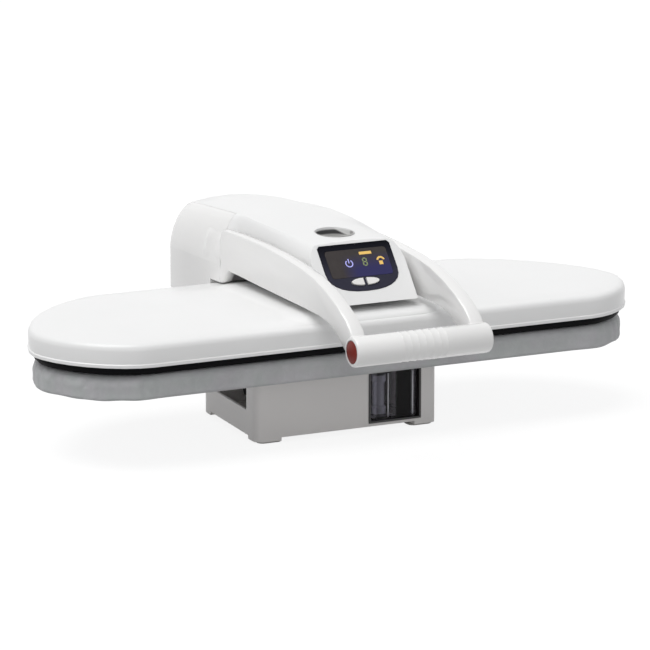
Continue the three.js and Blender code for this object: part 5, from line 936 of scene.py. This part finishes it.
def sign(name, outlines, material):
    """Thin raised marks on the window, from outlines in the window's own plane, in millimetres."""
    centre, across, up, out = face_axes()
    points, faces = [], []
    for outline in outlines:
        base = len(points)
        n = len(outline)
        for lift in SIGN_LIFTS:
            for u, v in outline:
                points.append(centre + (across * u + up * v + out * lift) * MM)
        faces.append(tuple(range(base + n, base + 2 * n)))
        faces.append(tuple(reversed(range(base, base + n))))
        for i in range(n):
            j = (i + 1) % n
            faces.append((base + i, base + j, base + n + j, base + n + i))
    obj = mesh_object(name, points, faces, flat=True)
    obj.data.materials.append(MATERIALS[material])
    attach(obj, "arm")


def box_mark(u, v, wide, high, lean=0.0):
    """A four-sided mark that leans to the right at its top."""
    return [
        (u - wide / 2 - lean, v - high / 2),
        (u + wide / 2 - lean, v - high / 2),
        (u + wide / 2 + lean, v + high / 2),
        (u - wide / 2 + lean, v + high / 2),
    ]


def arc_marks(u, v, inner, outer, start, stop):
    """An arc as short four-sided marks, so that each face is flat and simple."""
    angles = np.radians(np.linspace(start, stop, ARC_STEPS + 1))
    outside = [(u + outer * math.cos(a), v + outer * math.sin(a)) for a in angles]
    inside = [(u + inner * math.cos(a), v + inner * math.sin(a)) for a in angles]
    return [[outside[i + 1], outside[i], inside[i], inside[i + 1]] for i in range(ARC_STEPS)]


def figure(u, v, wide, high, stroke, lean):
    """A plain seven-part figure eight, leaning like the display's own digits."""
    marks = []
    for row in (-1, 0, 1):
        bar = wide - BAR_SHORTENED * stroke
        marks.append(box_mark(u + row * lean, v + row * high / 2, bar, stroke))
    for side in (-1, 1):
        for row in (-1, 1):
            place = u + side * wide / 2 + row * lean / 2
            post = high / 2 - POST_SHORTENED * stroke
            marks.append(box_mark(place, v + row * high / 4, stroke, post, lean * POST_LEAN))
    return marks


sign("sign_power", arc_marks(*POWER_RING) + [box_mark(*POWER_STEM)], "lit_blue")
sign("sign_number", figure(*NUMBER), "lit_green")
sign("sign_spray", arc_marks(*SPRAY_ARC) + [box_mark(*SPRAY_HEAD)], "lit_amber")
sign("sign_bar", [box_mark(*LEVEL_BAR)], "lit_amber")


def flank_depths(side, along, up):
    """How far out the housing's side lies at each place of a grid, and no number where it is open."""
    mesh = NODES["arm_housing"].data
    tree = BVHTree.FromPolygons([v.co for v in mesh.vertices], [p.vertices for p in mesh.polygons])
    depth = np.full((len(along), len(up)), np.nan)
    for i, y in enumerate(along):
        for j, z in enumerate(up):
            hit = tree.ray_cast(Vector((side, y, z)), Vector((-side, 0, 0)))[0]
            if hit and hit.x * side > 0:
                depth[i, j] = hit.x * side
    return depth


def stretched(bare, solid):
    """The flank's depths with each hollow filled smoothly, and never below the flank itself."""
    skin, weight = bare.copy(), solid.astype(float)
    for _ in range(FAIRING_ROUNDS):
        total, parts = skin * weight, weight.copy()
        for axis, step in REACHES:
            total = total + np.roll(skin * weight, step, axis)
            parts = parts + np.roll(weight, step, axis)
        blurred = np.where(parts > 0, total / np.maximum(parts, 1), 0)
        skin = np.maximum(bare, blurred)
    return skin


def edge_fade(solid):
    """1 well inside the skin, and softly down to 0 at its front, rear, top and open edges."""
    inside, room = solid.copy(), np.zeros(solid.shape)
    for _ in range(FAIRING_FADE):
        room = room + inside
        for axis, step in NEIGHBOURS:
            inside = inside & np.roll(inside, step, axis)
    long, tall = solid.shape
    rows = np.minimum(np.arange(long), np.arange(long)[::-1])
    heights = np.arange(tall)[::-1]
    by_length = fade(rows, 0, FAIRING_FADE * 2)[:, None]
    by_height = fade(heights, 0, FAIRING_FADE * 2)
    return fade(room, 0, FAIRING_FADE) * by_length * by_height


def lifted(proud):
    """1 where the skin stands proud and a little beyond, and softly 0 elsewhere."""
    lift = proud.copy()
    for _ in range(FAIRING_SPREAD):
        for step in (-1, 1):
            lift = np.maximum(lift, np.roll(lift, step, 0))
    lift = fade(lift, 0, FAIRING_RISE)
    for _ in range(FAIRING_SPREAD):
        for axis in (0, 1):
            lift = (np.roll(lift, 1, axis) + 2 * lift + np.roll(lift, -1, axis)) / 4
    return lift


def arm_fairing(name, side):
    """Thin moulded skin that carries the arm's rear end smoothly into the tower's flank."""
    along = np.arange(FAIRING_FRONT, FAIRING_REAR, FAIRING_STEP)
    up = np.arange(FAIRING_LOW, FAIRING_HIGH, FAIRING_STEP)
    depth = flank_depths(side, along, up)
    solid = ~np.isnan(depth)
    bare = np.where(solid, depth, 0)
    grown = edge_fade(solid)
    proud = (stretched(bare, solid) - bare) * grown
    lift = FAIRING_LIFT * lifted(proud) * np.minimum(1, 2 * grown)
    skin = bare + proud + lift - FAIRING_SINK
    index, points, faces = {}, [], []
    for i in range(len(along) - 1):
        for j in range(len(up) - 1):
            corners = [(i, j), (i + 1, j), (i + 1, j + 1), (i, j + 1)]
            if not all(solid[c] for c in corners):
                continue
            for c in corners:
                if c not in index:
                    index[c] = len(points)
                    points.append((side * skin[c], along[c[0]], up[c[1]]))
            face = [index[c] for c in corners]
            faces.append(face if side > 0 else face[::-1])
    fairing = mesh_object(name, points, faces)
    thicken(fairing, FAIRING_THICK)
    dress(fairing, "grip_plastic")
    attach(fairing, "arm")


arm_fairing("arm_fairing_left", -1)
arm_fairing("arm_fairing_right", 1)


def tank_ribs():
    """Two upright ribs on the tank's front, low enough to stay inside the frame, pale as a painted
    highlight.
    """
    low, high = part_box("tank_shell")
    bottom, top = low.z + TANK_WALL, high.z - 2 * TANK_WALL
    for name, share in RIBS:
        x = low.x + share * (high.x - low.x)
        outline = [(x + RIB_HALF * math.cos(a), low.y + RIB_HALF * math.sin(a)) for a in SIXTEENTHS]
        rings = [[(u, v, z) for u, v in outline] for z in np.linspace(bottom, top, RIB_RINGS)]
        rib = ringed(name, rings, (x, low.y, bottom), (x, low.y, top))
        dress(rib, "rib_painted_highlight")
        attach(rib, body_of_node("tank_shell"))


tank_ribs()


def camera():
    """The photo's camera."""
    data = bpy.data.cameras.new("camera")
    data.sensor_width = SENSOR
    data.lens = FOCAL_PIXELS / PICTURE_PIXELS * SENSOR
    data.clip_start = CLIP_START
    data.clip_end = CLIP_END
    obj = bpy.data.objects.new("camera", data)
    SCENE.collection.objects.link(obj)
    turn = Matrix((RIGHT, UP, tuple(-v for v in LOOK))).transposed().to_4x4()
    obj.matrix_world = Matrix.Translation(Vector(EYE) * MM) @ turn
    SCENE.camera = obj


def sun(name, source, spread, strength):
    """Even light over the whole scene, from one way, as soft as its spread in degrees."""
    data = bpy.data.lights.new(name, "SUN")
    data.energy = strength
    data.angle = math.radians(spread)
    obj = bpy.data.objects.new(name, data)
    SCENE.collection.objects.link(obj)
    obj.rotation_mode = "QUATERNION"
    obj.rotation_quaternion = (-Vector(source)).to_track_quat("-Z", "Y")


def world_light():
    """Plain fill from all round, and pure white wherever the surroundings show."""
    world = bpy.data.worlds.new("studio")
    SCENE.world = world
    world.use_nodes = True
    nodes, links = world.node_tree.nodes, world.node_tree.links
    nodes.clear()
    path = nodes.new("ShaderNodeLightPath")
    shown = path.outputs["Is Camera Ray"]
    for ray in SHOWING_RAYS:
        either = nodes.new("ShaderNodeMath")
        either.operation = "MAXIMUM"
        links.new(shown, either.inputs[0])
        links.new(path.outputs[ray], either.inputs[1])
        shown = either.outputs[0]
    white, fill = nodes.new("ShaderNodeBackground"), nodes.new("ShaderNodeBackground")
    white.inputs["Color"].default_value = WHITE
    white.inputs["Strength"].default_value = 1
    fill.inputs["Color"].default_value = WORLD_TINT
    fill.inputs["Strength"].default_value = WORLD_FILL
    mix, end = nodes.new("ShaderNodeMixShader"), nodes.new("ShaderNodeOutputWorld")
    links.new(shown, mix.inputs[0])
    links.new(fill.outputs[0], mix.inputs[1])
    links.new(white.outputs[0], mix.inputs[2])
    links.new(mix.outputs[0], end.inputs[0])


def pale_floor():
    """Floor that shows nearly white and keeps a soft shadow."""
    corners = [(x * FLOOR_HALF, y * FLOOR_HALF, 0) for x, y in ((-1, -1), (1, -1), (1, 1), (-1, 1))]
    floor = mesh_object("floor", corners, [(0, 1, 2, 3)])
    s = Shade("floor_white")
    rays = s.add("ShaderNodeLightPath")
    shown = rays.outputs["Is Camera Ray"]
    for ray in SHOWING_RAYS:
        shown = s.math("MAXIMUM", shown, rays.outputs[ray])
    s.colour(s.tint(shown, (FLOOR_BOUNCE,) * 3, (FLOOR_SHADOW,) * 3))
    s.set(Emission_Color=WHITE, Roughness=FLOOR_ROUGH, Specular_IOR_Level=0.0)
    s.link(s.math("MULTIPLY", shown, FLOOR_GLOW), s.body.inputs["Emission Strength"])
    floor.data.materials.append(s.material)


camera()
world_light()
pale_floor()
sun("key", *KEY_SUN)
sun("front", *FRONT_SUN)
SCENE.view_settings.view_transform = "Standard"
